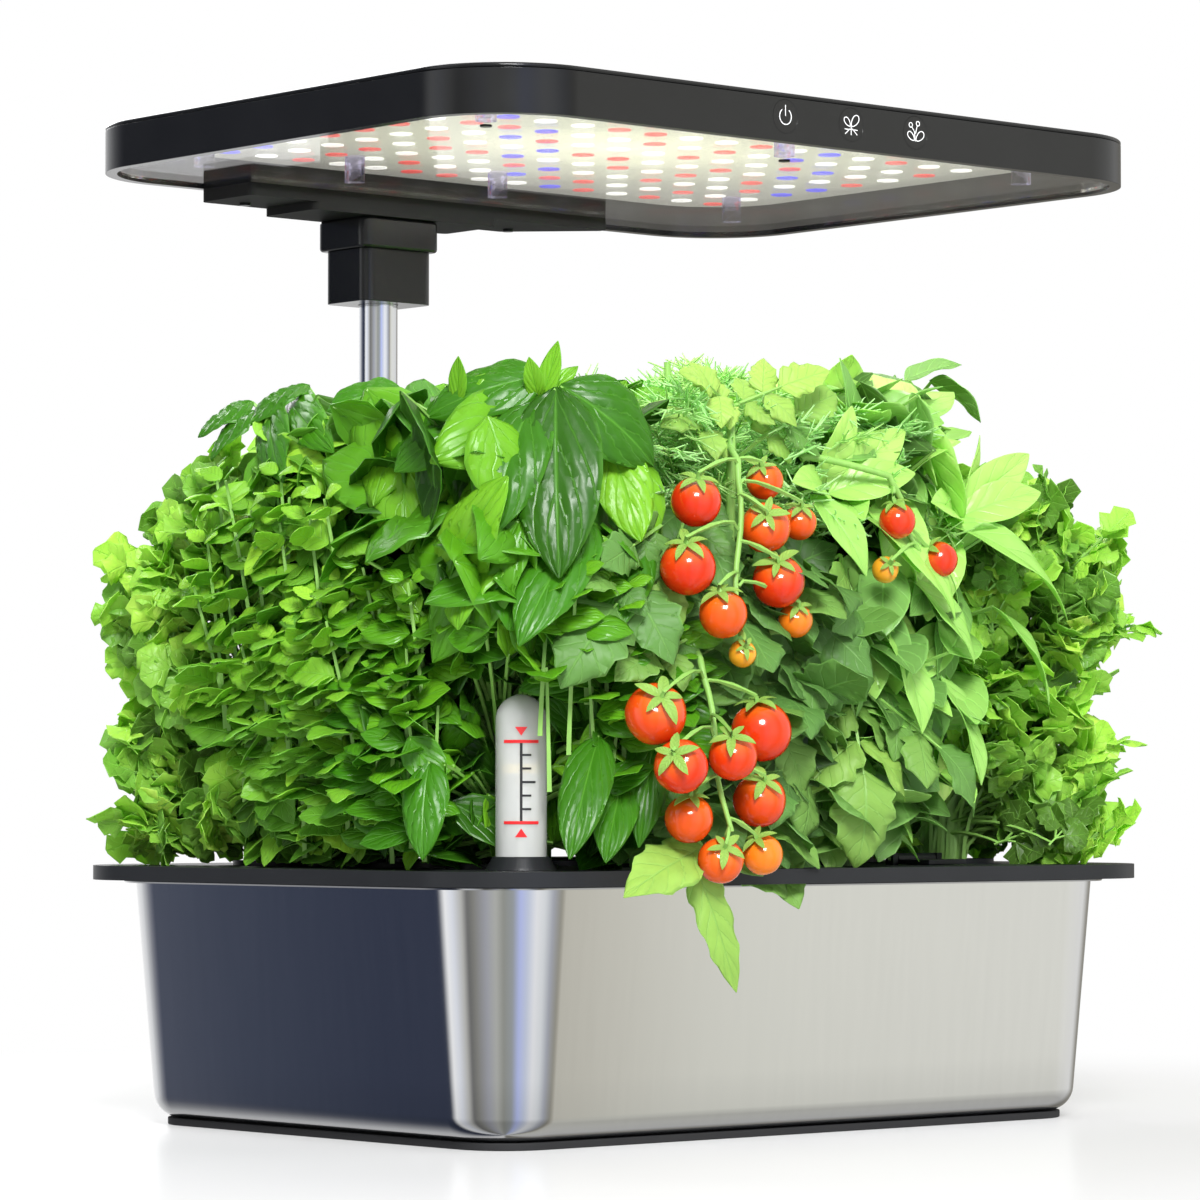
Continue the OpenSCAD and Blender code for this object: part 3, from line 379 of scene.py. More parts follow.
def make_finishes():
    """Every finish, by the name of its slot in the record."""
    tone = {name: tuple(getattr(colours(), name)) for name in GardenColours.__annotations__}
    drawn = (1, 1, 0.05)
    finishes = {
        "black_rubber": partial(plastic, base=(0.012, 0.012, 0.013), roughness=0.75, grain=0.4),
        "polished_steel": partial(metal, base=tone["steel"], roughness=0.10, grain=0.03, stretch=drawn),
        "black_deck_plastic": partial(plastic, base=tone["deck"], roughness=0.40, shine=0.3),
        "black_satin_plastic": partial(plastic, base=tone["plastic"], roughness=0.18, grain=0.03),
        "black_matt_plastic": partial(plastic, base=(0.012, 0.012, 0.012), roughness=0.6, grain=0.05, shine=0.08),
        "button_black": partial(plastic, base=(0.006, 0.006, 0.0065), roughness=0.22, grain=0.03, shine=0.55),
        "black_screw": partial(metal, base=(0.05, 0.05, 0.05), roughness=0.35),
        "sponge": sponge_finish,
        "clear_tube": partial(clear, tint=(0.95, 0.96, 0.95), roughness=0.06, milk=0.52, frost=0.75),
        "scale_print": scale_finish,
        "red_print": partial(plastic, base=(0.75, 0.015, 0.02), roughness=0.4, grain=0.02),
        "chrome_tube": partial(metal, base=(0.86, 0.87, 0.90), roughness=0.12, grain=0.03, stretch=drawn),
        "white_plastic": partial(plastic, base=(0.75, 0.75, 0.72), roughness=0.4),
        "yellow_plastic": partial(plastic, base=(0.80, 0.58, 0.06), roughness=0.4),
        "board_white": board_finish,
        "white_light": partial(glow, base=(1.0, 0.99, 0.95), strength=2.4, rim=(1.0, 0.97, 0.88)),
        "red_light": partial(glow, base=(0.95, 0.08, 0.07), strength=1.9, rim=(0.95, 0.16, 0.14)),
        "blue_light": partial(glow, base=(0.08, 0.07, 0.95), strength=1.9, rim=(0.16, 0.14, 1.0)),
        "clear_post": partial(clear, tint=(0.80, 0.77, 1.0), roughness=0.05, milk=0.55),
        "clear_lens": partial(sheet_glass, tint=(0.985, 0.99, 1.0)),
        "board_green": partial(plastic, base=(0.012, 0.09, 0.035), roughness=0.35, grain=0.05),
        "tomato_skin": fruit_finish,
        "icon_white": partial(plastic, base=(0.85, 0.86, 0.88), roughness=0.4, grain=0.02),
        "green_stem": partial(stem_finish, base=(0.20, 0.40, 0.08)),
    }
    for kind, gloss, veins, slant, vein_tint, pucker in (
            ("basil", 0.34, 3.6, 2.4, 0.45, 0.9), ("mint", 0.42, 6.0, 1.4, 0.5, 0.6),
            ("parsley", 0.42, 4.0, 1.4, 0.45, 0.4), ("tomato", 0.5, 6.0, 1.4, 0.4, 0.8),
            ("pepper", 0.32, 5.0, 1.4, 0.5, 0.4), ("dill", 0.5, 1.0, 0.0, 0.0, 0.0)):
        finishes[kind + "_leaf"] = partial(
            leaf_finish, base=tone["tomato_leaf" if kind == "tomato" else kind], gloss=gloss,
            veins=veins, slant=slant, vein_tint=vein_tint, pucker=pucker)
    return {name: finish(name=name) for name, finish in finishes.items()}


FINISH = {}


def dress(piece, finish):
    """Gives a piece one finish."""
    piece.data.materials.clear()
    piece.data.materials.append(FINISH[finish])
    return piece


def deselect():
    """Leaves object mode with nothing selected."""
    if bpy.context.mode != "OBJECT":
        bpy.ops.object.mode_set(mode="OBJECT")
    bpy.ops.object.select_all(action="DESELECT")


def pick(piece):
    """Selects one object and makes it active."""
    deselect()
    piece.select_set(True)
    bpy.context.view_layer.objects.active = piece
    return piece


@contextlib.contextmanager
def editing(piece):
    """Edit mode with the whole of a piece selected."""
    pick(piece)
    bpy.ops.object.mode_set(mode="EDIT")
    bpy.ops.mesh.select_all(action="SELECT")
    yield
    bpy.ops.object.mode_set(mode="OBJECT")


def new_piece(name, data):
    """An object with the given mesh, light or camera, in the scene."""
    piece = bpy.data.objects.new(name, data)
    bpy.context.scene.collection.objects.link(piece)
    return piece


def finish_piece(piece, body, finish, node=None, angle=35.0):
    """Smooths, paints and seats a finished piece."""
    pick(piece)
    bpy.ops.object.transform_apply(location=True, rotation=True, scale=True)
    bpy.ops.object.shade_smooth_by_angle(angle=math.radians(angle))
    dress(piece, finish)
    if node:
        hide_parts(node)
    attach(piece, body)
    return piece


def slot_of(node):
    """The record's material slot of a node."""
    return next(part["material_slot"] for part in frame["record"]["subparts"] if part["node"] == node)


def body_of(node):
    """The name of the body that a node belongs to."""
    bodies = frame["record"]["behaviour"]["bodies"]
    return next(body for body, members in bodies.items() if node in members)


def rounded_copy(node, width, segments=3, limit=38.0, finish=None):
    """A copy of a node with its loose triangles merged and its sharp edges rounded."""
    piece = new_piece(node + "_moulded", frame["nodes"][node].data.copy())
    with editing(piece):
        bpy.ops.mesh.remove_doubles(threshold=WELD)
        bpy.ops.mesh.customdata_custom_splitnormals_clear()
        bpy.ops.mesh.dissolve_limited(angle_limit=math.radians(0.3))
    bevel = piece.modifiers.new("edge", "BEVEL")
    bevel.width = width
    bevel.segments = segments
    bevel.limit_method = "ANGLE"
    bevel.angle_limit = math.radians(limit)
    bevel.harden_normals = False
    bpy.ops.object.modifier_apply(modifier=bevel.name)
    finish_piece(piece, body_of(node), finish or slot_of(node), node)
    even = piece.modifiers.new("even normals", "WEIGHTED_NORMAL")
    even.keep_sharp = True
    bpy.ops.object.modifier_apply(modifier=even.name)
    return piece


def mesh_piece(name, points, faces):
    """A mesh object from points and faces."""
    mesh = bpy.data.meshes.new(name)
    mesh.from_pydata([tuple(p) for p in points], [], faces)
    mesh.validate()
    return new_piece(name, mesh)


def tidy_mesh(piece):
    """Merges doubles and turns the faces outwards."""
    with editing(piece):
        bpy.ops.mesh.remove_doubles(threshold=WELD / 2)
        bpy.ops.mesh.normals_make_consistent(inside=False)
    return piece


# ---------- stage ----------

class GARDEN_OT_stage(bpy.types.Operator):
    """Lays the pale floor and sets the studio light and the camera"""

    bl_idname = "garden.stage"
    bl_label = "Stage"

    CAMERA = (-1.3676, -1.5536, 0.1364)
    YAW = 0.718
    PITCH = 0.040
    LENS = 146.8
    # What polished steel sees all round: heading in degrees from +X, and shade
    SURROUND = (
        (0, (0.75, 0.75, 0.74)), (20, (0.30, 0.29, 0.26)), (49, (0.28, 0.27, 0.24)),
        (50.5, (0.55, 0.55, 0.54)),
        (52, (1.0, 1.0, 1.0)), (90, (0.75, 0.76, 0.78)), (118, (0.12, 0.13, 0.17)),
        (124, (0.055, 0.066, 0.10)), (130, (0.034, 0.042, 0.072)), (139, (0.04, 0.048, 0.078)),
        (149, (0.98, 0.99, 1.00)), (160, (0.82, 0.85, 0.93)), (173, (0.56, 0.56, 0.54)),
        (181, (0.17, 0.17, 0.17)), (190, (0.27, 0.27, 0.25)), (206, (0.42, 0.43, 0.48)),
        (218, (0.52, 0.53, 0.50)),
        (228, (0.34, 0.35, 0.32)), (240, (0.38, 0.41, 0.43)), (249, (0.55, 0.62, 1.00)),
        (259, (0.66, 0.72, 0.88)), (270, (0.94, 0.95, 0.98)), (281, (0.80, 0.83, 0.86)),
        (292, (0.44, 0.46, 0.52)), (303, (0.32, 0.31, 0.26)), (308, (0.57, 0.55, 0.48)),
        (312, (0.76, 0.76, 0.69)), (330, (0.80, 0.80, 0.76)), (360, (0.75, 0.75, 0.74)))
    # How light it is at each height, from straight down at 0 to straight up at 1
    HEIGHTS = ((0.0, 0.55), (0.20, 0.75), (0.30, 0.90), (0.345, 1.0), (0.60, 1.05), (0.9, 1.0))

    def execute(self, context):
        self.floor()
        self.world()
        self.lamps()
        self.camera()
        context.scene.view_settings.view_transform = "Standard"
        return {"FINISHED"}

    def floor(self):
        """A wide pale floor that turns white far from the object and is clear to mirrors."""
        deselect()
        bpy.ops.mesh.primitive_circle_add(vertices=96, radius=6.0, fill_type="NGON", location=(0, 0, 0))
        floor = bpy.context.object
        floor.name = "floor"
        paint = Paint("floor").set(Base_Color=(0.86, 0.86, 0.86), Roughness=0.22, Specular_IOR_Level=0.4)
        far = paint.steps(paint.reach(), [(0.30, (0.35,) * 3), (0.62, (1.0,) * 3)], True)
        fade = paint.blend(far, paint.shader, paint.add("ShaderNodeEmission"))
        in_mirror = paint.add("ShaderNodeLightPath").outputs["Is Glossy Ray"]
        gone = paint.add("ShaderNodeBsdfTransparent")
        floor.data.materials.append(paint.show(paint.blend(in_mirror, fade, gone)))

    def world(self):
        """White to the eye, an even light, and a dark-and-light surround for mirrors."""
        world = bpy.data.worlds.new("studio")
        bpy.context.scene.world = world
        studio = Tree(world)
        studio.tree.nodes.clear()
        place = studio.split(studio.add("ShaderNodeTexCoord").outputs["Generated"])
        heading = studio.maths("ARCTAN2", place["Y"], place["X"])
        turns = studio.maths("FRACT", studio.maths("MULTIPLY", heading, 1 / (2 * math.pi)))
        round_about = studio.steps(turns, [(angle / 360, shade) for angle, shade in self.SURROUND])
        height = studio.add("ShaderNodeMapRange", place["Z"], -0.5, 0.5).outputs[0]
        up_and_down = studio.steps(height, [(level, (shade,) * 3) for level, shade in self.HEIGHTS])
        mirror = studio.add("ShaderNodeBackground", studio.mix(1.0, round_about, up_and_down, "MULTIPLY"))
        even = studio.add("ShaderNodeBackground", (0.97, 0.985, 1.0), 0.5)
        white = studio.add("ShaderNodeBackground", (1.0, 1.0, 1.0))
        ray = studio.add("ShaderNodeLightPath").outputs
        seen = studio.maths("MAXIMUM", ray["Is Camera Ray"], ray["Is Transmission Ray"])
        light = studio.blend(seen, studio.blend(ray["Is Glossy Ray"], even, mirror), white)
        studio.feed(studio.add("ShaderNodeOutputWorld").inputs[0], light.outputs[0])

    def lamps(self):
        """Three large soft lamps, and the light that the grow lamp throws down."""
        aim = Vector((0, 0, 0.18))
        for name, place, size, power in (
                ("key", (-1.3, -1.9, 1.7), 0.8, 92.0),
                ("fill", (1.8, -1.5, 1.3), 1.4, 26.0),
                ("back", (0.4, 2.2, 1.6), 1.5, 46.0)):
            data = bpy.data.lights.new(name, "AREA")
            data.energy = power
            data.size = size
            lamp = new_piece(name, data)
            lamp.location = place
            lamp.rotation_euler = (aim - Vector(place)).to_track_quat("-Z", "Y").to_euler()
            lamp.visible_glossy = name != "fill"
        low, high = BOX["lens_cover"]
        data = bpy.data.lights.new("grow_light", "AREA")
        data.shape, data.size, data.size_y, data.energy = "RECTANGLE", 0.30, 0.20, 0.55
        lamp = new_piece("grow_light", data)
        lamp.location = ((low.x + high.x) / 2, (low.y + high.y) / 2, low.z - 0.003)
        lamp.visible_camera = lamp.visible_glossy = lamp.visible_transmission = False

    def camera(self):
        """The camera, a long lens at worktop height by the near corner."""
        data = bpy.data.cameras.new("camera")
        data.sensor_width = 36.0
        data.lens = self.LENS
        data.clip_end = 50.0
        camera = new_piece("camera", data)
        camera.location = self.CAMERA
        camera.rotation_euler = (math.pi / 2 + self.PITCH, 0, -self.YAW)
        bpy.context.scene.camera = camera


# ---------- rigid pieces ----------

def loft(name, rings):
    """Closed skin through rings of equal length; the first and last rings are capped."""
    count = len(rings[0])
    points = [p for ring in rings for p in ring]
    faces = []
    for k in range(len(rings) - 1):
        for i in range(count):
            j = (i + 1) % count
            faces.append((k * count + i, k * count + j, (k + 1) * count + j, (k + 1) * count + i))
    faces.append(tuple(range(count))[::-1])
    faces.append(tuple(range((len(rings) - 1) * count, len(rings) * count)))
    return tidy_mesh(mesh_piece(name, points, faces))


def rounded_ring(half_w, half_d, radius, z, steps=14):
    """Points round a rectangle with round corners."""
    ring = []
    for quarter, (sx, sy) in enumerate(((1, 1), (-1, 1), (-1, -1), (1, -1))):
        for i in range(steps + 1):
            a = math.pi / 2 * (quarter + i / steps)
            ring.append((sx * (half_w - radius) + radius * math.cos(a),
                         sy * (half_d - radius) + radius * math.sin(a), z))
    return ring


class GARDEN_OT_tank(bpy.types.Operator):
    """Draws the polished steel tank with its rolled bottom edge and turned rim"""

    bl_idname = "garden.tank"
    bl_label = "Water tank"

    def execute(self, context):
        size = sizes()
        low, high = BOX["water_tank"]
        flange, turn, least_radius = 0.005, 0.0004, 0.004
        half_w, half_d = high.x - flange, high.y - flange
        height = high.z - low.z
        wall, edge, radius = size.tank_wall, size.tank_edge, size.tank_corner

        def ring(inset, z, grow=0.0):
            lean = size.tank_lean * (1 - (z - low.z) / height) + inset
            return rounded_ring(half_w - lean + grow, half_d - lean + grow,
                                max(least_radius, radius - lean + grow), z)

        outer = [ring(edge * (1 - math.sin(a)), low.z + edge * (1 - math.cos(a)))
                 for a in (math.radians(d) for d in range(0, 91, 10))]
        outer += [ring(0.0, low.z + edge + (height - edge) * k / 6) for k in range(1, 6)]
        top = [ring(0.0, high.z - wall), ring(0.0, high.z - wall, flange - turn),
               ring(0.0, high.z - wall / 2, flange), ring(0.0, high.z, flange - turn), ring(wall, high.z)]
        inner = [ring(wall, high.z - (height - edge) * k / 6) for k in range(1, 6)]
        inner += [ring(wall + (edge - wall) * (1 - math.cos(a)), low.z + edge - (edge - wall) * math.sin(a))
                  for a in (math.radians(d) for d in range(0, 91, 15))]
        tank = loft("steel_tank", outer + top + inner)
        finish_piece(tank, "tank", "polished_steel", node="water_tank", angle=50.0)
        return {"FINISHED"}


class GARDEN_OT_moulded(bpy.types.Operator):
    """Rounds the edges of the moulded plastic pieces"""

    bl_idname = "garden.moulded"
    bl_label = "Moulded pieces"

    def execute(self, context):
        size = sizes()
        for node, width in (("grow_deck", size.rim_edge), ("lamp_frame", size.edge),
                            ("top_cover", size.edge * 1.2), ("pole_head", size.edge * 1.8),
                            ("lamp_socket", size.edge * 1.8)):
            rounded_copy(node, width)
        rounded_copy("lamp_bracket", size.edge * 0.6, 2, finish="black_matt_plastic")
        for node in ("gauge_collar", "pole_base", "pump_body", "fill_flap", "base_pad"):
            rounded_copy(node, size.edge * 0.6, 2)
        return {"FINISHED"}


class GARDEN_OT_lights(bpy.types.Operator):
    """Flattens the lights against their board"""

    bl_idname = "garden.lights"
    bl_label = "Lights"

    def execute(self, context):
        board = BOX["light_board"][0].z
        for node in ("white_lights", "red_lights", "blue_lights"):
            piece = new_piece(node + "_flat", frame["nodes"][node].data.copy())
            with editing(piece):
                bpy.ops.mesh.remove_doubles(threshold=WELD)
                bpy.ops.transform.resize(value=(1, 1, sizes().light_rise), center_override=(0, 0, board))
            finish_piece(piece, body_of(node), slot_of(node), node=node)
        return {"FINISHED"}


class GARDEN_OT_carried(bpy.types.Operator):
    """Paints the nodes that keep their own shape"""

    bl_idname = "garden.carried"
    bl_label = "Carried-over pieces"

    def execute(self, context):
        for name, node in frame["nodes"].items():
            slot_name = slot_of(name)
            if slot_name in FINISH:
                dress(node, slot_name)
        return {"FINISHED"}


def stroke(points, width, height, closed=False):
    """Points and faces of a flat line on the x-z plane that stands out by height along -Y."""
    line = [np.array(p, float) for p in points]
    count = len(line)
    rails = []
    for i, p in enumerate(line):
        a = line[i - 1] if i or closed else p
        b = line[(i + 1) % count] if i < count - 1 or closed else p
        d = (b - a) / max(1e-9, np.linalg.norm(b - a))
        side = np.array([-d[1], d[0]]) * width / 2
        rails.append((p + side, p - side))
    verts = []
    for left, right in rails:
        verts += [(left[0], 0, left[1]), (right[0], 0, right[1]),
                  (right[0], -height, right[1]), (left[0], -height, left[1])]
    faces = []
    for i in range(count if closed else count - 1):
        j = (i + 1) % count
        faces += [(4 * i + k, 4 * j + k, 4 * j + (k + 1) % 4, 4 * i + (k + 1) % 4) for k in range(4)]
    if not closed:
        last = 4 * (count - 1)
        faces += [(0, 1, 2, 3), (last + 3, last + 2, last + 1, last)]
    return verts, faces


def arc(cx, cz, radius, start, end, steps=18):
    """Points on an arc, in degrees from +X."""
    angles = [math.radians(start + (end - start) * i / steps) for i in range(steps + 1)]
    return [(cx + radius * math.cos(a), cz + radius * math.sin(a)) for a in angles]


def leaf_outline(cx, cz, size, turn):
    """A closed pointed leaf."""
    points, count = [], 20
    c, s = math.cos(math.radians(turn)), math.sin(math.radians(turn))
    for i in range(count):
        a = 2 * math.pi * i / count
        along, across = math.cos(a) * size / 2, math.sin(a) * size * 0.28 * (1 + 0.25 * math.cos(a))
        points.append((cx + along * c - across * s, cz + along * s + across * c))
    return points


class GARDEN_OT_icons(bpy.types.Operator):
    """Prints a plain sign on each button: power, rooted sprout and berries"""

    bl_idname = "garden.icons"
    bl_label = "Button icons"

    def execute(self, context):
        # In millimetres from the middle of the button: lines, and whether each is closed
        signs = {
            "power": [(arc(0, 0, 3.2, 126, 414, 28), False), ([(0, 0.2), (0, 4.6)], False)],
            "leaf": [(leaf_outline(2.1, 1.6, 5.6, 50), True), (leaf_outline(-2.1, 1.0, 4.4, 134), True),
                     ([(0, -0.6), (0, -4.2)], False), ([(-3.4, -4.0), (-0.6, -1.6)], False),
                     ([(3.4, -4.0), (0.6, -1.6)], False), ([(-3.6, -2.0), (3.6, -2.0)], False)],
            "fruit": [(arc(-2.6, 3.0, 0.95, 0, 360, 16), True), (arc(1.5, 3.8, 0.95, 0, 360, 16), True),
                      ([(-2.0, 2.2), (-0.5, 0.4), (0, -3.6)], False), ([(1.1, 2.8), (0.1, -0.4)], False),
                      (leaf_outline(2.6, -1.4, 5.4, 40), True), (leaf_outline(-2.4, -1.6, 4.6, 140), True)],
        }
        for name, lines in signs.items():
            low, high = BOX[name + "_button"]
            centre = (low + high) / 2
            points, faces = [], []
            for line, closed in lines:
                verts, quads = stroke([(x * MM, z * MM) for x, z in line], sizes().icon_line, 0.08 * MM, closed)
                faces += [tuple(len(points) + k for k in quad) for quad in quads]
                points += [(centre.x + x, low.y + y, centre.z + z) for x, y, z in verts]
            sign = tidy_mesh(mesh_piece(name + "_icon", points, faces))
            finish_piece(sign, name + "_button", "icon_white")
        return {"FINISHED"}


class GARDEN_OT_gauge_marks(bpy.types.Operator):
    """Adds a small red pointer beside the low and the high mark"""

    bl_idname = "garden.gauge_marks"
    bl_label = "Gauge pointers"

    def execute(self, context):
        low, high = BOX["gauge_scale"]
        tube_low, tube_high = BOX["gauge_tube"]
        centre = (tube_low + tube_high) / 2
        radius = (tube_high.x - tube_low.x) / 2
        turn, gap, thickness = math.radians(-40), 0.0034, 0.0003
        half_base, foot, tip = 0.0024, 0.0016, 0.0018
        points, faces = [], []
        for z, way in ((high.z + gap, -1), (low.z - gap, 1)):
            base = len(points)
            for depth in (0.0, thickness):
                for dx, dz in ((-half_base, -foot * way), (half_base, -foot * way), (0.0, tip * way)):
                    out = radius + depth
                    dy = -math.sqrt(out * out - dx * dx)
                    points.append((centre.x + dx * math.cos(turn) - dy * math.sin(turn),
                                   centre.y + dx * math.sin(turn) + dy * math.cos(turn), z + dz))
            faces += [(base, base + 2, base + 1), (base + 3, base + 4, base + 5)]
            faces += [(base + k, base + (k + 1) % 3, base + 3 + (k + 1) % 3, base + 3 + k) for k in range(3)]
        marks = tidy_mesh(mesh_piece("gauge_pointers", points, faces))
        finish_piece(marks, "deck", "red_print")
        return {"FINISHED"}


# ---------- plants ----------

# How far apart the baskets are, and where the room for the outer plants ends
PITCH_X, PITCH_Y = 0.082, 0.070
LEFT, RIGHT, FRONT, BACK = -0.182, 0.182, -0.135, 0.110

def unit(v):
    """Vectors scaled to length one."""
    return v / np.maximum(1e-9, np.linalg.norm(v, axis=-1, keepdims=True))


class Growth:
    """Gathers blades and stalks as arrays, then makes them one closed mesh."""

    def __init__(self):
        self.points, self.faces, self.uvs, self.tints = [], [], [], []
        self.count = 0

    def add(self, points, faces, uvs, tints):
        """Adds points, quads, a texture place and a tint for each point."""
        self.points.append(points.reshape(-1, 3))
        self.faces.append(faces.reshape(-1, 4) + self.count)
        self.uvs.append(uvs.reshape(-1, 2))
        self.tints.append(tints.reshape(-1))
        self.count += len(self.points[-1])

    def mesh(self, name):
        """One mesh object of all that was gathered."""
        points = np.concatenate(self.points)
        faces = np.concatenate(self.faces)
        uvs = np.concatenate(self.uvs)
        mesh = bpy.data.meshes.new(name)
        mesh.vertices.add(len(points))
        mesh.vertices.foreach_set("co", points.astype(np.float32).ravel())
        mesh.loops.add(faces.size)
        mesh.loops.foreach_set("vertex_index", faces.astype(np.int32).ravel())
        mesh.polygons.add(len(faces))
        mesh.polygons.foreach_set("loop_start", np.arange(0, faces.size, 4, dtype=np.int32))
        layer = mesh.uv_layers.new(name="UVMap")
        layer.data.foreach_set("uv", uvs[faces.ravel()].astype(np.float32).ravel())
        tint = mesh.attributes.new("tint", "FLOAT", "POINT")
        tint.data.foreach_set("value", np.concatenate(self.tints).astype(np.float32))
        mesh.update(calc_edges=True)
        mesh.validate()
        return new_piece(name, mesh)


# Outlines: how wide a leaf is along its length, from stalk to tip
OUTLINES = {
    "basil": ((0, .05), (.04, .40), (.10, .66), (.20, .89), (.34, 1), (.50, .99), (.66, .86), (.80, .62),
              (.90, .36), (.96, .17), (1, .03)),
    "pepper": ((0, .03), (.04, .26), (.09, .50), (.16, .73), (.25, .90), (.36, .99), (.48, .99), (.60, .91),
               (.71, .77), (.81, .58), (.89, .38), (.95, .20), (1, .03)),
    "mint": ((0, .05), (.08, .5), (.16, .72), (.24, .8), (.34, 1), (.44, .9), (.54, .95), (.64, .72), (.74, .72),
             (.84, .42), (.92, .34), (1, .02)),
    "tomato": ((0, .06), (.07, .48), (.15, .84), (.23, .92), (.30, .74), (.38, .92), (.46, 1), (.54, .78),
               (.61, .76), (.68, .80), (.76, .54), (.85, .40), (.93, .20), (1, .02)),
    "parsley": ((0, .05), (.2, .60), (.4, 1), (.6, .72), (.8, .82), (1, .14)),
}


# How one kind of leaf grows: its outline, mesh, range of lengths and width for its length; ranges of bend,
# fold and droop; height of its puckers and waves; and the number of its veins with their slant
Habit = namedtuple("Habit", "outline rows columns long wide bend fold droop relief wave veins",
                   defaults=((0.0, 0.0), 0.0, 0.0, (6.0, 1.4)))

HABITS = {
    "basil": Habit("basil", 9, 7, long=(0.040, 0.068), wide=0.62, droop=(0.15, 1.0), bend=(0.3, 1.3),
                   fold=(-0.35, 0.0), relief=0.24, wave=0.10, veins=(3.6, 2.4)),
    "young basil": Habit("basil", 7, 5, long=(0.018, 0.032), wide=0.62, droop=(-0.1, 0.8), bend=(0.2, 1.0),
                         fold=(-0.2, 0.3), relief=0.12, wave=0.06, veins=(3.6, 2.4)),
    "pepper": Habit("pepper", 11, 7, long=(0.036, 0.060), wide=0.52, droop=(0.0, 0.8), bend=(0.2, 0.9),
                    fold=(0.05, 0.35), relief=0.05, wave=0.10, veins=(5.0, 1.4)),
    "mint": Habit("mint", 12, 5, long=(0.018, 0.034), wide=0.56, droop=(0.0, 0.8), bend=(0.2, 0.9),
                  fold=(-0.1, 0.3), relief=0.10, wave=0.06),
    "tomato": Habit("tomato", 14, 5, long=(0.024, 0.044), wide=0.74, droop=(0.2, 1.1), bend=(0.3, 1.2),
                    fold=(-0.25, 0.2), relief=0.10, wave=0.16),
    "parsley": Habit("parsley", 6, 3, long=(0.8, 1.2), wide=1.05, bend=(-0.2, 1.0), fold=(-0.3, 0.4), wave=0.22),
    "sepal": Habit("pepper", 7, 3, long=(0.75, 1.1), wide=0.36, bend=(0.5, 1.0), fold=(0.25, 0.25)),
}


def stalks(growth, paths, radii, tint, sides=4):
    """Adds round stalks with an even number of sides along paths of equal numbers of points."""
    paths = np.asarray(paths, float)
    if not len(paths):
        return
    count, steps, _ = paths.shape
    radii = np.broadcast_to(radii, (count, steps))
    ahead = unit(np.gradient(paths, axis=1))
    lead = np.where(np.abs(ahead[:, :1, 2:3]) > 0.9, np.array([1.0, 0, 0]), UP)
    u = unit(np.cross(ahead, np.broadcast_to(lead, ahead.shape)))
    v = np.cross(ahead, u)
    angle = np.arange(sides) * 2 * math.pi / sides
    ring = u[:, :, None] * np.cos(angle)[:, None] + v[:, :, None] * np.sin(angle)[:, None]
    points = paths[:, :, None] + ring * radii[:, :, None, None]
    a = np.arange(steps * sides).reshape(steps, sides)
    b = np.roll(a, -1, axis=1)
    quads = np.stack([a[:-1], b[:-1], b[1:], a[1:]], axis=-1).reshape(-1, 4)
    caps = [(0, k + 2, k + 1, k) for k in range(1, sides - 1, 2)]
    caps += [tuple((steps - 1) * sides + q for q in cap[::-1]) for cap in caps]
    faces = np.concatenate([quads, np.array(caps)])
    faces = faces[None] + (np.arange(count) * steps * sides)[:, None, None]
    uvs = np.zeros((count, steps * sides, 2))
    growth.add(points, faces, uvs, np.repeat(np.broadcast_to(tint, count), steps * sides))


def arch(start, end, lift, steps=7):
    """Paths that leave their starts upwards and bend over to their ends."""
    t = np.linspace(0, 1, steps)[None, :, None]
    reach = np.linalg.norm(end - start, axis=-1)[:, None]
    first = start + UP * lift * reach
    second = end - unit(end - start) * reach * 0.25 + UP * lift * reach * 0.3
    a, b, c, d = start[:, None], first[:, None], second[:, None], end[:, None]
    return a * (1 - t) ** 3 + 3 * b * t * (1 - t) ** 2 + 3 * c * t ** 2 * (1 - t) + d * t ** 3


def over_deck(place):
    """A place given in millimetres above the deck, in metres."""
    return np.array(place, float) * MM + UP * DECK_TOP


def pod(column, row):
    """The place of a basket's middle on the deck."""
    return np.array([(column - 1.5) * PITCH_X, (row - 1) * PITCH_Y, DECK_TOP])


def open_sides(column, row):
    """The sides of a plant that face the room."""
    return [(-1, 0)] * (column == 0) + [(1, 0)] * (column == 3) + [(0, -1)] * (row == 0) + [(0, 1)] * (row == 2)


def skirt(rng, column, row, count):
    """Places low along the open sides of a plant's room on the deck, and the way out at each."""
    x, y, _ = pod(column, row)
    x0 = LEFT if column == 0 else x - PITCH_X / 2
    x1 = RIGHT if column == 3 else x + PITCH_X / 2
    y0 = FRONT if row == 0 else y - PITCH_Y / 2
    y1 = BACK if row == 2 else y + PITCH_Y / 2
    sides = open_sides(column, row)
    place, way = np.empty((count, 3)), np.empty((count, 3))
    for k in range(count):
        sx, sy = sides[rng.integers(len(sides))]
        inset = 0.010 + 0.008 * rng.random()
        x = (x0 + inset if sx < 0 else x1 - inset) if sx else rng.uniform(x0, x1)
        y = (y0 + inset if sy < 0 else y1 - inset) if sy else rng.uniform(y0, y1)
        place[k] = x, y, DECK_TOP + rng.uniform(0.004, 0.048)
        way[k] = sx, sy, 0.3
    return place, unit(way)


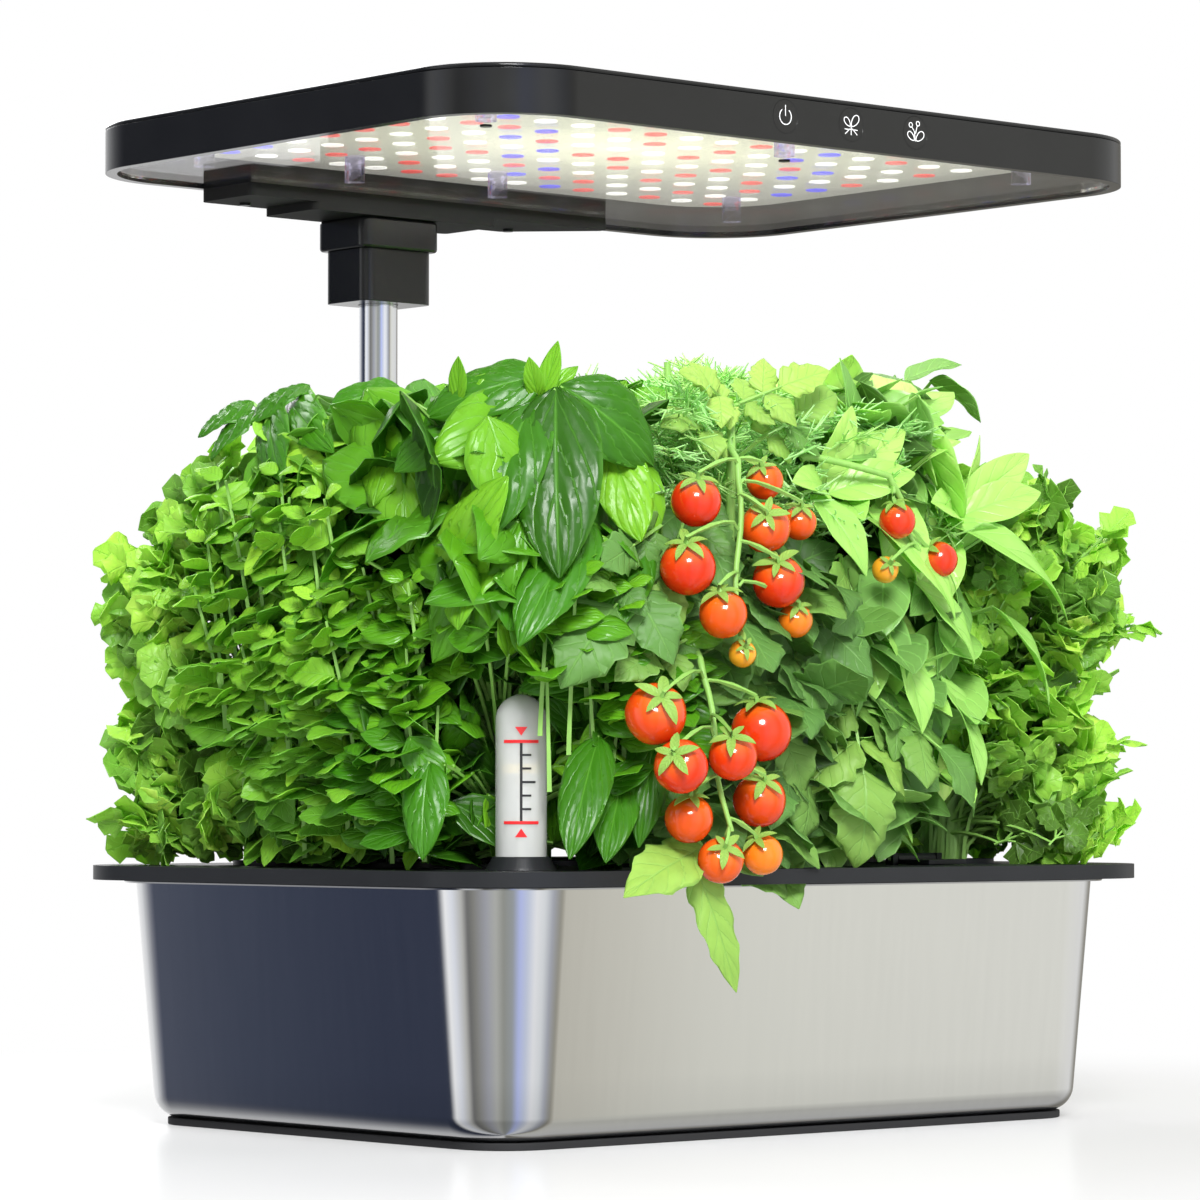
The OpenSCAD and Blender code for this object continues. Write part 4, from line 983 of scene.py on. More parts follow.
def crown_surface(node, column, row):
    """The triangles of a plant's solid that can be seen: their corners, the way they face, twice their areas."""
    mesh = bpy.data.objects[node].data
    mesh.calc_loop_triangles()
    place = np.empty(len(mesh.vertices) * 3)
    mesh.vertices.foreach_get("co", place)
    corner = np.empty(len(mesh.loop_triangles) * 3, np.int32)
    mesh.loop_triangles.foreach_get("vertices", corner)
    tris = place.reshape(-1, 3)[corner.reshape(-1, 3)]
    middle = tris.mean(axis=1)
    cross = np.cross(tris[:, 1] - tris[:, 0], tris[:, 2] - tris[:, 0])
    out = unit(cross)
    x, y, _ = pod(column, row)
    half_x = 0.066 if column in (0, 3) else 0.042
    half_y = 0.036 if row == 1 else 0.0665
    own = (np.abs(middle[:, 0] - x) < half_x) & (np.abs(middle[:, 1] - y) < half_y)
    lowest, outward, upward = DECK_TOP + 0.003, 0.45, 0.12
    side = np.zeros(len(tris), bool)
    for sx, sy in open_sides(column, row):
        side |= out[:, 0] * sx + out[:, 1] * sy > outward
    seen = own & (middle[:, 2] > lowest) & (side | (out[:, 2] > upward))
    return tris[seen], out[seen], np.linalg.norm(cross[seen], axis=-1)


def spots(rng, node, column, row, count, low=0.0, high=1.0, depth=0.0):
    """Places on a plant's solid between two heights above the deck, and the way out at each."""
    tris, out, size = crown_surface(node, column, row)
    tries = count * 3
    drawn = rng.choice(len(tris), size=tries, p=size / size.sum())
    a, b = np.sqrt(rng.random((tries, 1))), rng.random((tries, 1))
    chosen = tris[drawn]
    place = chosen[:, 0] * (1 - a) + chosen[:, 1] * a * (1 - b) + chosen[:, 2] * a * b
    rise = place[:, 2] - DECK_TOP
    keep = np.flatnonzero((rise > low) & (rise < high))[:count]
    way = out[drawn[keep]]
    place = place[keep] - way * depth * np.abs(rng.normal(size=(len(keep), 1)))
    if low < 0.03 and open_sides(column, row):
        foot, foot_way = skirt(rng, column, row, count // 4)
        place, way = np.concatenate([place, foot]), np.concatenate([way, foot_way])
    return place, way


def blocked(points):
    """True for leaves whose points reach where the gauge, the flap, the pole or the lamp is."""
    x, y, z = points[..., 0], points[..., 1], points[..., 2]
    pole_x, pole_y, pole_radius = -0.033, 0.122, 0.0108
    gauge = (x < -0.134) & (y < -0.097) & (z < DECK_TOP + 0.071)
    flap = (x > 0.0675) & (x < 0.0965) & (y < -0.087) & (z < DECK_TOP + 0.027)
    pole = (x - pole_x) ** 2 + (y - pole_y) ** 2 < pole_radius ** 2
    pole_foot = (np.abs(x - pole_x) < 0.02) & (y > 0.102) & (z < 0.136)
    lamp = z > 0.352
    return (gauge | flap | pole | pole_foot | lamp).any(axis=-1)


def raised(points):
    """How far each leaf has to rise so that none of its points is in the deck."""
    over_rim = (np.abs(points[..., 0]) > 0.192) | (points[..., 1] < -0.1475)
    floor = np.where(over_rim, -1.0, DECK_TOP + 0.002)
    return np.maximum(0.0, (floor - points[..., 2]).max(axis=-1))


def light_and_shade_patch(place):
    """Painted patches of light and shade a few centimetres wide, from -1 to 1."""
    x, y, z = np.moveaxis(np.asarray(place), -1, 0) * 100
    broad = np.sin(x * 1.9 + z * 1.3 + 0.6) * np.sin(y * 1.7 - z * 1.1 + 1.9)
    return (broad + 0.6 * np.sin(z * 2.9 + x * 1.2 - y * 2.3)) / 1.6


def seeded(step):
    """A random source of its own for each plant, from the scene's seed."""
    return np.random.default_rng(sizes().seed * 100 + step)


class Plant:
    """The leaves and stems of a plant while it grows over its solid, with its random source."""

    # How high above the deck leaves may stand, how far inside the crown's surface they scatter,
    # the lowest start of a stalk above the deck, and the darkest and lightest tints
    CEILING = 0.204
    DEPTH = 0.008
    STALK_FOOT = 0.004
    TINTS = (0.02, 1.0)

    def __init__(self, node, rng):
        self.node, self.rng = node, rng
        self.leaves, self.stems = Growth(), Growth()

    def blades(self, habit, place, along, up, long, wide, bend, fold, tint, finer=(0, 0)):
        """Adds many leaves at once; every argument from place to tint has one entry for each leaf."""
        count = len(place)
        if not count:
            return
        rows, columns = habit.rows + finer[0], habit.columns + finer[1]
        t = np.linspace(0, 1, rows)
        s = np.linspace(-1, 1, columns)
        off = np.abs(s)[None, :]
        half = np.interp(t, *zip(*OUTLINES[habit.outline]))
        across = half[:, None] * s[None, :]
        phi = bend[:, None] * t[None, :] ** 1.2
        side = unit(np.cross(up, along))
        up = unit(np.cross(along, side))
        step = along[:, None] * np.cos(phi)[..., None] - up[:, None] * np.sin(phi)[..., None]
        step = step * (long / (rows - 1))[:, None, None]
        centre = place[:, None] + np.cumsum(step, axis=1) - step[:, :1]
        tilt = up[:, None] * np.cos(phi)[..., None] + along[:, None] * np.sin(phi)[..., None]
        veins, slant = habit.veins
        bulge = habit.relief * np.abs(np.sin(math.pi * (veins * t[:, None] - slant * off)))
        bulge = bulge * (1 - s[None, :] ** 2 * 0.6) * np.minimum(1, off * 3) * half[:, None]
        phase, lengthwise, crosswise = self.rng.random(count) * 6.28, 9.0, 1.5
        ruffle = np.sin(phase[:, None, None] + lengthwise * t[None, :, None] + crosswise * s[None, None, :])
        ruffle = habit.wave * ruffle * off[None] ** 2
        rise = fold[:, None, None] * np.abs(across)[None] + bulge[None] + ruffle * half[None, :, None]
        half_wide = (wide / 2)[:, None, None]
        grid = (centre[:, :, None] + side[:, None, None] * (across[None] * half_wide)[..., None]
                + tilt[:, :, None] * (rise * half_wide)[..., None])
        under = grid - tilt[:, :, None] * sizes().leaf_thickness
        points = np.concatenate([grid.reshape(count, -1, 3), under.reshape(count, -1, 3)], axis=1)
        uv = np.stack(np.broadcast_arrays(s[None, :] * 0.5 + 0.5, t[:, None]), axis=-1).reshape(-1, 2)
        uvs = np.broadcast_to(np.concatenate([uv, uv]), (count, 2 * len(uv), 2))
        size = rows * columns
        a = np.arange(size).reshape(rows, columns)
        quads = np.stack([a[:-1, :-1], a[1:, :-1], a[1:, 1:], a[:-1, 1:]], axis=-1).reshape(-1, 4)
        rim = np.concatenate([a[0, :], a[1:, -1], a[-1, -2::-1], a[-2:0:-1, 0]])
        ahead = np.roll(rim, -1)
        edge = np.stack([rim, ahead, ahead + size, rim + size], axis=-1)
        faces = np.concatenate([quads, quads[:, ::-1] + size, edge])
        faces = faces[None] + (np.arange(count) * 2 * size)[:, None, None]
        self.leaves.add(points, faces, uvs, np.repeat(np.clip(tint, *self.TINTS), 2 * size))

    def main_stem(self, column, row, height, radius):
        """The thick stem in the middle of a plant, rooted in its sponge."""
        foot = pod(column, row) + UP * 0.0005
        steps = np.linspace(0, 1, 10)
        wobble = np.cumsum(self.rng.normal(size=(10, 2)) * 0.004 * 0.35, axis=0)
        path = foot + UP * (height * steps)[:, None]
        path[2:, :2] += wobble[2:]
        stalks(self.stems, path[None], np.linspace(radius, radius * 0.45, 10)[None], 0.5, 6)

    def turned(self, way, droop):
        """Directions that leaves point in and the way their faces look."""
        count = len(way)
        swing = self.rng.normal(size=(count, 3)) * 0.55
        low = self.rng.uniform(*droop, size=(count, 1))
        along = unit(way * 0.70 + swing - UP * low)
        face = unit(way * 0.85 + UP * 0.65 + self.rng.normal(size=(count, 3)) * 0.32)
        return along, face

    def layer(self, kind, column, row, count, low=0.0, high=1.0, back=0.0, shade=0.5, scale=1.0, glow=0.10,
              ceiling=CEILING):
        """One layer of stalked leaves over the solid between two heights; back sets it inside the crown."""
        habit, rng = HABITS[kind], self.rng
        tip, way = spots(rng, self.node, column, row, count, low, high, self.DEPTH)
        # Painted light: leaves higher above the deck get a lighter tint; a low shade paints leaves inside the crown
        # dark.
        shade = shade * (0.75 + 0.45 * np.clip((tip[:, 2] - DECK_TOP) / 0.20, 0, 1) ** 1.5)
        tip = tip - way * back
        along, face = self.turned(way, habit.droop)
        count = len(tip)
        long = rng.uniform(*habit.long, size=count) * scale
        wide = long * habit.wide * rng.uniform(0.85, 1.15, size=count)
        place = tip - along * (long * 0.55)[:, None]
        middle = place + along * (long * 0.5)[:, None]
        end = place + along * long[:, None] - face * (long * 0.3)[:, None]
        side = unit(np.cross(face, along)) * (wide / 2)[:, None]
        reach = np.stack([place, middle, end, middle + side, middle - side], axis=1)
        lift = raised(reach) - np.maximum(0.0, reach[..., 2].max(axis=-1) - DECK_TOP - ceiling)
        place = place + UP * lift[:, None]
        free = ~blocked(reach + UP * lift[:, None, None])
        place, along, face, long, wide, shade = (a[free] for a in (place, along, face, long, wide, shade))
        count = len(place)
        # Painted light and shade: patches of it, and a share of leaves, set by glow, painted brighter.
        tint = shade + light_and_shade_patch(place) * 0.30 + rng.normal(size=count) * 0.13 + (rng.random(count) < glow) * 0.35
        self.blades(habit, place, along, face, long, wide, rng.uniform(*habit.bend, size=count),
                    rng.uniform(*habit.fold, size=count), tint)
        if not count:
            return
        start = np.tile(pod(column, row), (count, 1))
        far = np.linalg.norm(place[:, :2] - start[:, :2], axis=-1)
        start[:, 2] = np.maximum(DECK_TOP + self.STALK_FOOT,
                                 place[:, 2] - far * rng.uniform(0.5, 1.1, size=count) - 0.012)
        paths = arch(start, place + along * 0.001, 0.35)
        stalks(self.stems, paths, 0.0009 * np.linspace(1.25, 0.8, paths.shape[1])[None, :], 0.5)

    def sprig(self, kind, foot, top, pairs, long, shade):
        """An upright stem with crossed pairs of leaves that get smaller and paler to the top."""
        rng = self.rng
        path = arch(foot[None], top[None], 0.15, 13)[0]
        stalks(self.stems, path[None], np.linspace(0.0013, 0.0007, 13)[None], 0.6)
        lead = unit(np.gradient(path, axis=0))
        out = unit(top * OUTWARD)
        places, ways, faces, longs, tints = [], [], [], [], []
        for k in range(pairs):
            step = int(round(3 + 9 * k / (pairs - 1)))
            across = unit(np.cross(lead[step], out))
            spread = across if k % 2 == 0 else unit(across * 0.35 + out)
            for turn in (-1, 1):
                way = spread * turn + lead[step] * (0.25 + 0.5 * k / pairs) + out * 0.35 + rng.normal(size=3) * 0.12
                ways.append(unit(way))
                faces.append(unit(lead[step] * 0.75 + out * 0.65 + rng.normal(size=3) * 0.1))
                places.append(path[step] + ways[-1] * 0.002)
                longs.append(long * (1.0 - 0.55 * (k / (pairs - 1)) ** 2) * rng.uniform(0.9, 1.1))
                tints.append(shade + 0.35 * k / (pairs - 1) + light_and_shade_patch(path[step]) * 0.2 + rng.normal() * 0.05)
        places, ways, faces, longs, tints = (np.array(a) for a in (places, ways, faces, longs, tints))
        free = ~blocked(np.stack([places, places + ways * longs[:, None]], axis=1))
        count = int(free.sum())
        if count:
            self.blades(HABITS[kind], places[free], ways[free], faces[free], longs[free], (longs * 0.66)[free],
                        rng.uniform(0.3, 1.1, size=count), rng.uniform(-0.25, 0.15, size=count), tints[free])

    def sprigs(self, kind, count, low, high, tall, long, shade):
        """Sprigs scattered in a box above the deck, given in millimetres."""
        for _ in range(count):
            foot = self.rng.uniform(low, high)
            rise = self.rng.uniform(*tall)
            lean = unit(foot * OUTWARD) * rise * 0.12 + self.rng.normal(size=3) * (4, 4, 0)
            self.sprig(kind, over_deck(foot), over_deck(foot + lean + (0, 0, rise)), 5, long * MM, shade)

    def feature(self, kind, rows, root):
        """Large leaves at given places: foot and tip in millimetres above the deck, width, bend, tint."""
        habit = HABITS[kind]
        foot, tip = (np.array([over_deck(row[k]) for row in rows]) for k in (0, 1))
        wide, bend, tint = (np.array([row[k] for row in rows], float) for k in (2, 3, 4))
        out = unit((foot + tip) / 2 * OUTWARD)
        chord = unit(tip - foot)
        long = np.linalg.norm(tip - foot, axis=-1) * (1 + bend ** 2 / 10)
        look = out * 0.9 + UP * 0.5
        face = unit(look - chord * (look * chord).sum(axis=-1, keepdims=True))
        along = unit(chord + face * np.tan(bend * 0.45)[:, None])
        count = len(rows)
        self.blades(habit, foot, along, face, long, wide * MM, bend, np.full(count, sum(habit.fold) / 2), tint,
                    finer=(8, 6))
        start = np.tile(root, (count, 1))
        start[:, 2] = np.maximum(DECK_TOP + self.STALK_FOOT,
                                 foot[:, 2] - np.linalg.norm(foot - root, axis=-1) * 0.4)
        stalks(self.stems, arch(start, foot + along * 0.001, 0.3), np.linspace(0.0014, 0.0009, 7)[None], 0.5)

    def seat(self, name, finish, mirrored=True):
        """Makes the leaves and stems into two pieces that stand for the plant's node."""
        for growth, label, paint in ((self.leaves, name + "_leaves", finish),
                                     (self.stems, name + "_stems", "green_stem")):
            piece = pick(growth.mesh(label))
            bpy.ops.object.shade_smooth_by_angle(angle=math.radians(80))
            dress(piece, paint)
            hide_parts(self.node)
            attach(piece, body_of(self.node))
            piece.visible_glossy = mirrored


class GARDEN_OT_basil(bpy.types.Operator):
    """Grows the basil: broad puckered glossy leaves above, young ones below, in three baskets"""

    bl_idname = "garden.basil"
    bl_label = "Basil"

    CORNER = (
        ((-176, -96, 104), (-179, -138, 149), 31, 0.5, 0.95), ((-145, -128, 186), (-162, -150, 112), 36, 0.35, 0.12),
        ((-166, -132, 134), (-184, -101, 81), 34, 0.6, 0.55), ((-141, -126, 187), (-108, -142, 158), 32, 0.9, 0.25),
        ((-144, -120, 191), (-176, -88, 176), 26, 0.6, 0.35), ((-160, -95, 174), (-184, -78, 155), 23, 0.6, 0.45),
        ((-133, -134, 135), (-178, -146, 87), 27, 0.6, 0.4), ((-107, -134, 128), (-138, -146, 88), 23, 0.6, 0.35),
        ((-119, -130, 165), (-119, -148, 127), 23, 0.4, 1.0), ((-152, -122, 180), (-178, -128, 128), 30, 0.6, 0.3),
        ((-128, -134, 52), (-155, -148, 6), 20, 0.5, 0.3),
        ((-113, -132, 39), (-136, -147, 4), 18, 0.4, 0.35), ((-178, -92, 42), (-188, -100, 5), 19, 0.5, 0.4),
        ((-97, -134, 66), (-118, -146, 10), 19, 0.5, 0.3))
    SHOOTS = (
        ((-146, -120, 180), (-142, -126, 204), 9, -0.3, 0.95), ((-147, -120, 182), (-155, -124, 197), 8, 0.4, 0.95),
        ((-144, -120, 182), (-132, -126, 195), 8, 0.4, 0.9), ((-168, -96, 180), (-172, -102, 198), 8, -0.2, 0.9),
        ((-168, -96, 178), (-160, -104, 192), 8, 0.4, 0.85), ((-120, -128, 176), (-114, -134, 190), 9, 0.3, 0.9))
    BACK = (
        ((-150, -42, 189), (-176, -26, 182), 24, 0.6, 0.4), ((-160, 33, 190), (-184, -6, 154), 18, 0.4, 0.3),
        ((-150, 33, 191), (-176, -27, 166), 20, 0.6, 0.45), ((-164, 36, 186), (-182, 44, 166), 20, 0.7, 0.3),
        ((-160, 44, 190), (-178, 58, 176), 22, 0.6, 0.35), ((-150, 20, 196), (-172, 30, 180), 22, 0.8, 0.3))

    def execute(self, context):
        plant = Plant("basil_plants", seeded(1))
        for column, row, height in ((0, 0, 0.165), (1, 1, 0.19), (1, 2, 0.19)):
            plant.main_stem(column, row, height, 0.0028)
        plant.layer("basil", 0, 0, 70, 0.10, shade=0.55, ceiling=0.190)
        plant.layer("basil", 0, 0, 60, 0.09, back=0.024, shade=0.05, glow=0.0, ceiling=0.184)
        plant.feature("young basil", self.SHOOTS, pod(0, 0))
        plant.layer("young basil", 0, 0, 210, 0.0, 0.12, shade=0.55, glow=0.25)
        plant.layer("young basil", 0, 0, 130, 0.0, 0.12, back=0.020, shade=0.05, scale=1.3, glow=0.0)
        plant.layer("basil", 1, 1, 50, 0.10)
        plant.layer("basil", 1, 2, 80, shade=0.45)
        plant.layer("basil", 1, 2, 80, back=0.024, shade=0.05, glow=0.0)
        plant.sprigs("young basil", 16, (-176, -100, 2), (-168, -50, 60), (45, 75), 24, 0.45)
        plant.sprigs("young basil", 14, (-160, -132, 2), (-85, -128, 70), (40, 70), 24, 0.45)
        plant.feature("basil", self.CORNER, pod(0, 0))
        plant.feature("basil", self.BACK, pod(0, 1))
        plant.seat("basil", "basil_leaf")
        return {"FINISHED"}


class GARDEN_OT_mint(bpy.types.Operator):
    """Grows the mint: pointed toothed leaves in pairs up many stems"""

    bl_idname = "garden.mint"
    bl_label = "Mint"

    def execute(self, context):
        plant = Plant("mint_plant", seeded(2))
        plant.main_stem(0, 1, 0.17, 0.0018)
        plant.layer("mint", 0, 1, 260, glow=0.25, ceiling=0.186)
        plant.layer("mint", 0, 1, 170, back=0.020, shade=0.05, scale=1.3, glow=0.0)
        plant.sprigs("mint", 30, (-177, -46, 2), (-170, 40, 92), (50, 80), 24, 0.45)
        plant.seat("mint", "mint_leaf")
        return {"FINISHED"}


class GARDEN_OT_pepper(bpy.types.Operator):
    """Grows the peppers: smooth pale oval leaves with a clear midrib"""

    bl_idname = "garden.pepper"
    bl_label = "Peppers"

    FRONT = (
        ((3, -124, 153), (38, -134, 178), 19, 0.4, 0.85), ((3, -125, 151), (35, -142, 160), 18, 0.6, 0.75),
        ((2, -124, 152), (-30, -140, 154), 16, 0.6, 0.8), ((2, -122, 155), (8, -134, 186), 15, 0.4, 0.9),
        ((14, -128, 146), (52, -148, 103), 22, 0.9, 0.7), ((-12, -130, 150), (2, -148, 118), 18, 0.7, 0.65),
        ((44, -130, 118), (66, -146, 84), 20, 0.6, 0.6), ((30, -132, 96), (34, -148, 55), 22, 0.6, 0.65))
    RIGHT = (
        ((79, -120, 146), (117, -128, 172), 19, 0.4, 0.85), ((80, -122, 144), (117, -134, 156), 18, 0.6, 0.75),
        ((79, -121, 145), (50, -138, 149), 16, 0.6, 0.8), ((80, -118, 148), (86, -130, 178), 15, 0.4, 0.9),
        ((66, -126, 142), (122, -144, 105), 25, 0.9, 0.65), ((96, -126, 108), (112, -144, 68), 22, 0.7, 0.6),
        ((62, -130, 78), (70, -146, 34), 22, 0.5, 0.6),
        ((111, -60, 207), (135, -70, 215), 17, 0.5, 0.3), ((108, -60, 205), (74, -80, 187), 17, 0.6, 0.3),
        ((126, -60, 208), (137, -80, 190), 19, 0.6, 0.25), ((113, -70, 198), (87, -90, 170), 19, 0.5, 0.4))

    def execute(self, context):
        plant = Plant("pepper_plants", seeded(3))
        for column, row in ((2, 0), (3, 1)):
            plant.main_stem(column, row, 0.18, 0.0028)
        for column, row, shade in ((2, 0, 0.55), (3, 1, 0.45)):
            plant.layer("pepper", column, row, 120, shade=shade)
            plant.layer("pepper", column, row, 80, back=0.022, shade=0.05, scale=1.1, glow=0.0)
        plant.feature("pepper", self.FRONT, pod(2, 0))
        plant.feature("pepper", self.RIGHT, pod(3, 1))
        plant.seat("pepper", "pepper_leaf")
        return {"FINISHED"}


class GARDEN_OT_parsley(bpy.types.Operator):
    """Grows the parsley: many small toothed leaflets on long thin stalks"""

    bl_idname = "garden.parsley"
    bl_label = "Parsley"

    # Column and row of the basket, how far the leaves stay inside the crown, and places for leaves at its top
    PLANTS = (
        (0, 2, 0.0, ((-168, 96, 140), (-175, 84, 147), (-162, 104, 132), (-180, 100, 122), (-158, 88, 153),
                     (-178, 70, 156), (-181, 92, 132), (-181, 108, 108), (-176, 106, 118))),
        (3, 0, 0.014, ((158, -127, 142), (168, -118, 136), (148, -131, 148), (175, -124, 124), (177, -104, 132),
                       (140, -122, 155), (165, -131, 130), (180, -120, 112))),
        (3, 2, 0.014, ()))
    # Number of leaves, how far inside, tint (low for the inner layer, as painted shade), and sprays of leaflets on
    # each
    LAYERS = ((112, 0.0, 0.55, 5), (62, 0.020, 0.06, 3))
    # The corners of the room that a leaf needs about its middle
    ROOM = np.array([(0.024, 0, -0.016), (-0.024, 0, -0.016), (0, 0.024, 0), (0, -0.026, -0.016)])
    # Swing from the axis, place along it and size of each spray; turn and size of each leaflet in a spray
    SPRAYS = ((0, 0, 1.0), (-0.9, -0.010, 0.88), (0.9, -0.010, 0.88), (-1.2, -0.019, 0.70), (1.2, -0.019, 0.70))
    FAN = ((0.0, 1.0), (-0.8, 0.78), (0.8, 0.78))
    LEAFLET = 0.0152

    def execute(self, context):
        rng = seeded(4)
        for number, (column, row, inset, crest) in enumerate(self.PLANTS, start=1):
            plant = Plant("parsley_plants", rng)
            if crest:
                place = np.array([over_deck(tip) for tip in crest])
                self.sprays(plant, pod(column, row), place, unit(place * OUTWARD + UP * 0.12), 0.6)
            for count, back, shade, sprays in self.LAYERS:
                place, way = spots(rng, plant.node, column, row, count, depth=0.006)
                self.sprays(plant, pod(column, row), place - way * (back + inset), way, shade, sprays)
            plant.seat(f"parsley_{number}", "parsley_leaf")
        return {"FINISHED"}

    def sprays(self, plant, root, place, way, shade, sprays=5):
        """Compound leaves, each with toothed leaflets in threes."""
        rng = plant.rng
        reach = place[:, None] + self.ROOM
        lift = raised(reach)
        place = place + UP * lift[:, None]
        keep = ~blocked(reach + UP * lift[:, None, None])
        place, way = place[keep], way[keep]
        count = len(place)
        start = np.tile(root, (count, 1)) + rng.normal(size=(count, 3)) * (0.004, 0.004, 0)
        start[:, 2] = DECK_TOP + 0.0005
        base = place - way * 0.010 - UP * 0.010
        base[:, 2] = np.maximum(base[:, 2], DECK_TOP + 0.009)
        stalks(plant.stems, arch(start, base, 0.45, 8), 0.0009 * np.linspace(1.2, 0.7, 8)[None], 0.6)
        axis = unit(way * 0.8 + UP * 0.5 + rng.normal(size=(count, 3)) * 0.45)
        face = unit(way * 0.75 + UP * 0.55 + rng.normal(size=(count, 3)) * 0.4)
        side = unit(np.cross(face, axis))
        face = unit(np.cross(axis, side))
        habit = HABITS["parsley"]
        feet, ways, faces, longs, tints, ribs = [], [], [], [], [], []
        # Painted light and shade: patches of it, and a few leaves painted brighter.
        tone = shade + light_and_shade_patch(place) * 0.26 + rng.normal(size=count) * 0.12 + (rng.random(count) < 0.15) * 0.3
        for swing, back, size in self.SPRAYS[:sprays]:
            leaf_way = unit(axis * math.cos(swing) + side * math.sin(swing) + rng.normal(size=(count, 3)) * 0.12)
            foot = base + axis * (0.014 + back * 0.9) + leaf_way * 0.003
            ribs.append(np.stack([base + axis * (0.012 + back * 0.9), foot], axis=1))
            for fan, part in self.FAN:
                feet.append(foot)
                ways.append(unit(leaf_way * math.cos(fan) + np.cross(face, leaf_way) * math.sin(fan)))
                faces.append(unit(face + rng.normal(size=(count, 3)) * 0.28))
                longs.append(self.LEAFLET * size * part * rng.uniform(*habit.long, size=count))
                tints.append(tone + rng.normal(size=count) * 0.06)
        ribs.append(np.stack([base - axis * 0.002, base + axis * 0.015], axis=1))
        stalks(plant.stems, np.concatenate(ribs), 0.0005, 0.6)
        feet, ways, faces, long, tint = (np.concatenate(a) for a in (feet, ways, faces, longs, tints))
        total = len(long)
        plant.blades(habit, feet, ways, faces, long, long * habit.wide, rng.uniform(*habit.bend, size=total),
                     rng.uniform(*habit.fold, size=total), tint)


class GARDEN_OT_dill(bpy.types.Operator):
    """Grows the dill: feathery fronds of hair-thin leaves"""

    bl_idname = "garden.dill"
    bl_label = "Dill"

    # Column and row of the basket, and how many fronds lean out over the front plants
    PLANTS = ((2, 1, 72), (2, 2, 0))

    def execute(self, context):
        rng = seeded(5)
        for number, (column, row, forward) in enumerate(self.PLANTS, start=1):
            plant = Plant("dill_plants", rng)
            root = pod(column, row)
            plant.main_stem(column, row, 0.19, 0.002)
            for tip, out in zip(*spots(rng, plant.node, column, row, 40, 0.02, depth=0.010)):
                self.frond(plant, root, tip, out)
            for _ in range(forward):
                tip = over_deck((rng.uniform(-92, 66), rng.uniform(-134, -80), rng.uniform(138, 193)))
                self.frond(plant, root + rng.normal(size=3) * OUTWARD * 0.006, tip, tip * OUTWARD)
            plant.seat(f"dill_{number}", "dill_leaf")
        return {"FINISHED"}

    def frond(self, plant, root, tip, out):
        """One frond: a rib with side ribs, each carrying threads."""
        if blocked(tip[None]):
            return
        rng = plant.rng
        far = np.linalg.norm(tip[:2] - root[:2])
        start = np.array([root[0], root[1], max(DECK_TOP + 0.001, tip[2] - 0.05 - far)])
        path = arch(start[None], tip[None], 0.5, 14)[0]
        stalks(plant.stems, path[None], np.linspace(0.0009, 0.0003, 14)[None], 0.6)
        lead = unit(np.gradient(path, axis=0))
        face = unit(out * 0.4 + UP * 0.8 + rng.normal(size=3) * 0.3)
        threads, ribs = [], []
        for k in range(7, 14):
            side = unit(np.cross(lead[k], face))
            reach = 0.020 * (14.5 - k) / 8 + 0.004
            for way in (-1, 1):
                d = unit(side * way + lead[k] * 0.8 + rng.normal(size=3) * 0.2)
                end = path[k] + d * reach
                ribs.append((path[k], (path[k] + end) / 2 + face * 0.001, end))
                for m in range(4):
                    foot = path[k] + d * reach * (m + 1) / 4
                    for turn in (-1, 1):
                        e = unit(np.cross(d, face) * turn + d * 0.9 + rng.normal(size=3) * 0.35)
                        threads.append((foot, foot + e * 0.0095 * rng.uniform(0.6, 1.2)))
        stalks(plant.leaves, ribs, np.array([0.00050, 0.00042, 0.00030])[None], 0.45 + 0.3 * rng.random())
        stalks(plant.leaves, threads, np.array([0.00052, 0.00024])[None], 0.45 + 0.5 * rng.random())


# Middle of each tomato in millimetres above the deck, and its radius
UPPER_FRUIT = ((-92, -150, 143, 10), (-50, -144, 153, 7.5), (-57, -152, 134, 10), (-33, -146, 137, 7),
               (-100, -154, 117, 11), (-51, -153, 113, 10.5), (-87, -160, 99, 9.5), (-40, -151, 98, 7),
               (-75, -158, 84, 5.5))
LOWER_FRUIT = ((-122, -160, 60, 12), (-64, -157, 54, 12), (-119, -171, 40, 10.5), (-93, -172, 44, 9.5),
               (-67, -159, 27, 10.5), (-104, -159, 20, 9.5), (-93, -165, 4, 9), (-70, -164, 6, 8))
SIDE_FRUIT = ((23.5, -144, 140, 7.5), (17.5, -143, 120, 5.5), (47.5, -144, 125, 7.5))
ALL_FRUIT = UPPER_FRUIT + LOWER_FRUIT + SIDE_FRUIT
# Top and foot of each fruit stalk, the way back from its top into the plant, and its fruit
TRUSSES = (((-68, -148, 160), (-76, -157, 91), (20, 30, 8), UPPER_FRUIT),
           ((-88, -148, 82), (-90, -167, 15), (20, 30, 8), LOWER_FRUIT),
           ((20, -143, 158), (36, -143, 128), (-34, 16, 6), SIDE_FRUIT))


def fruit_axes():
    """The way that the stalk end of each tomato looks: up, and out of the plant."""
    return unit(np.array((-0.45, -0.55, 0.85)) + seeded(9).normal(size=(len(ALL_FRUIT), 3)) * 0.22)


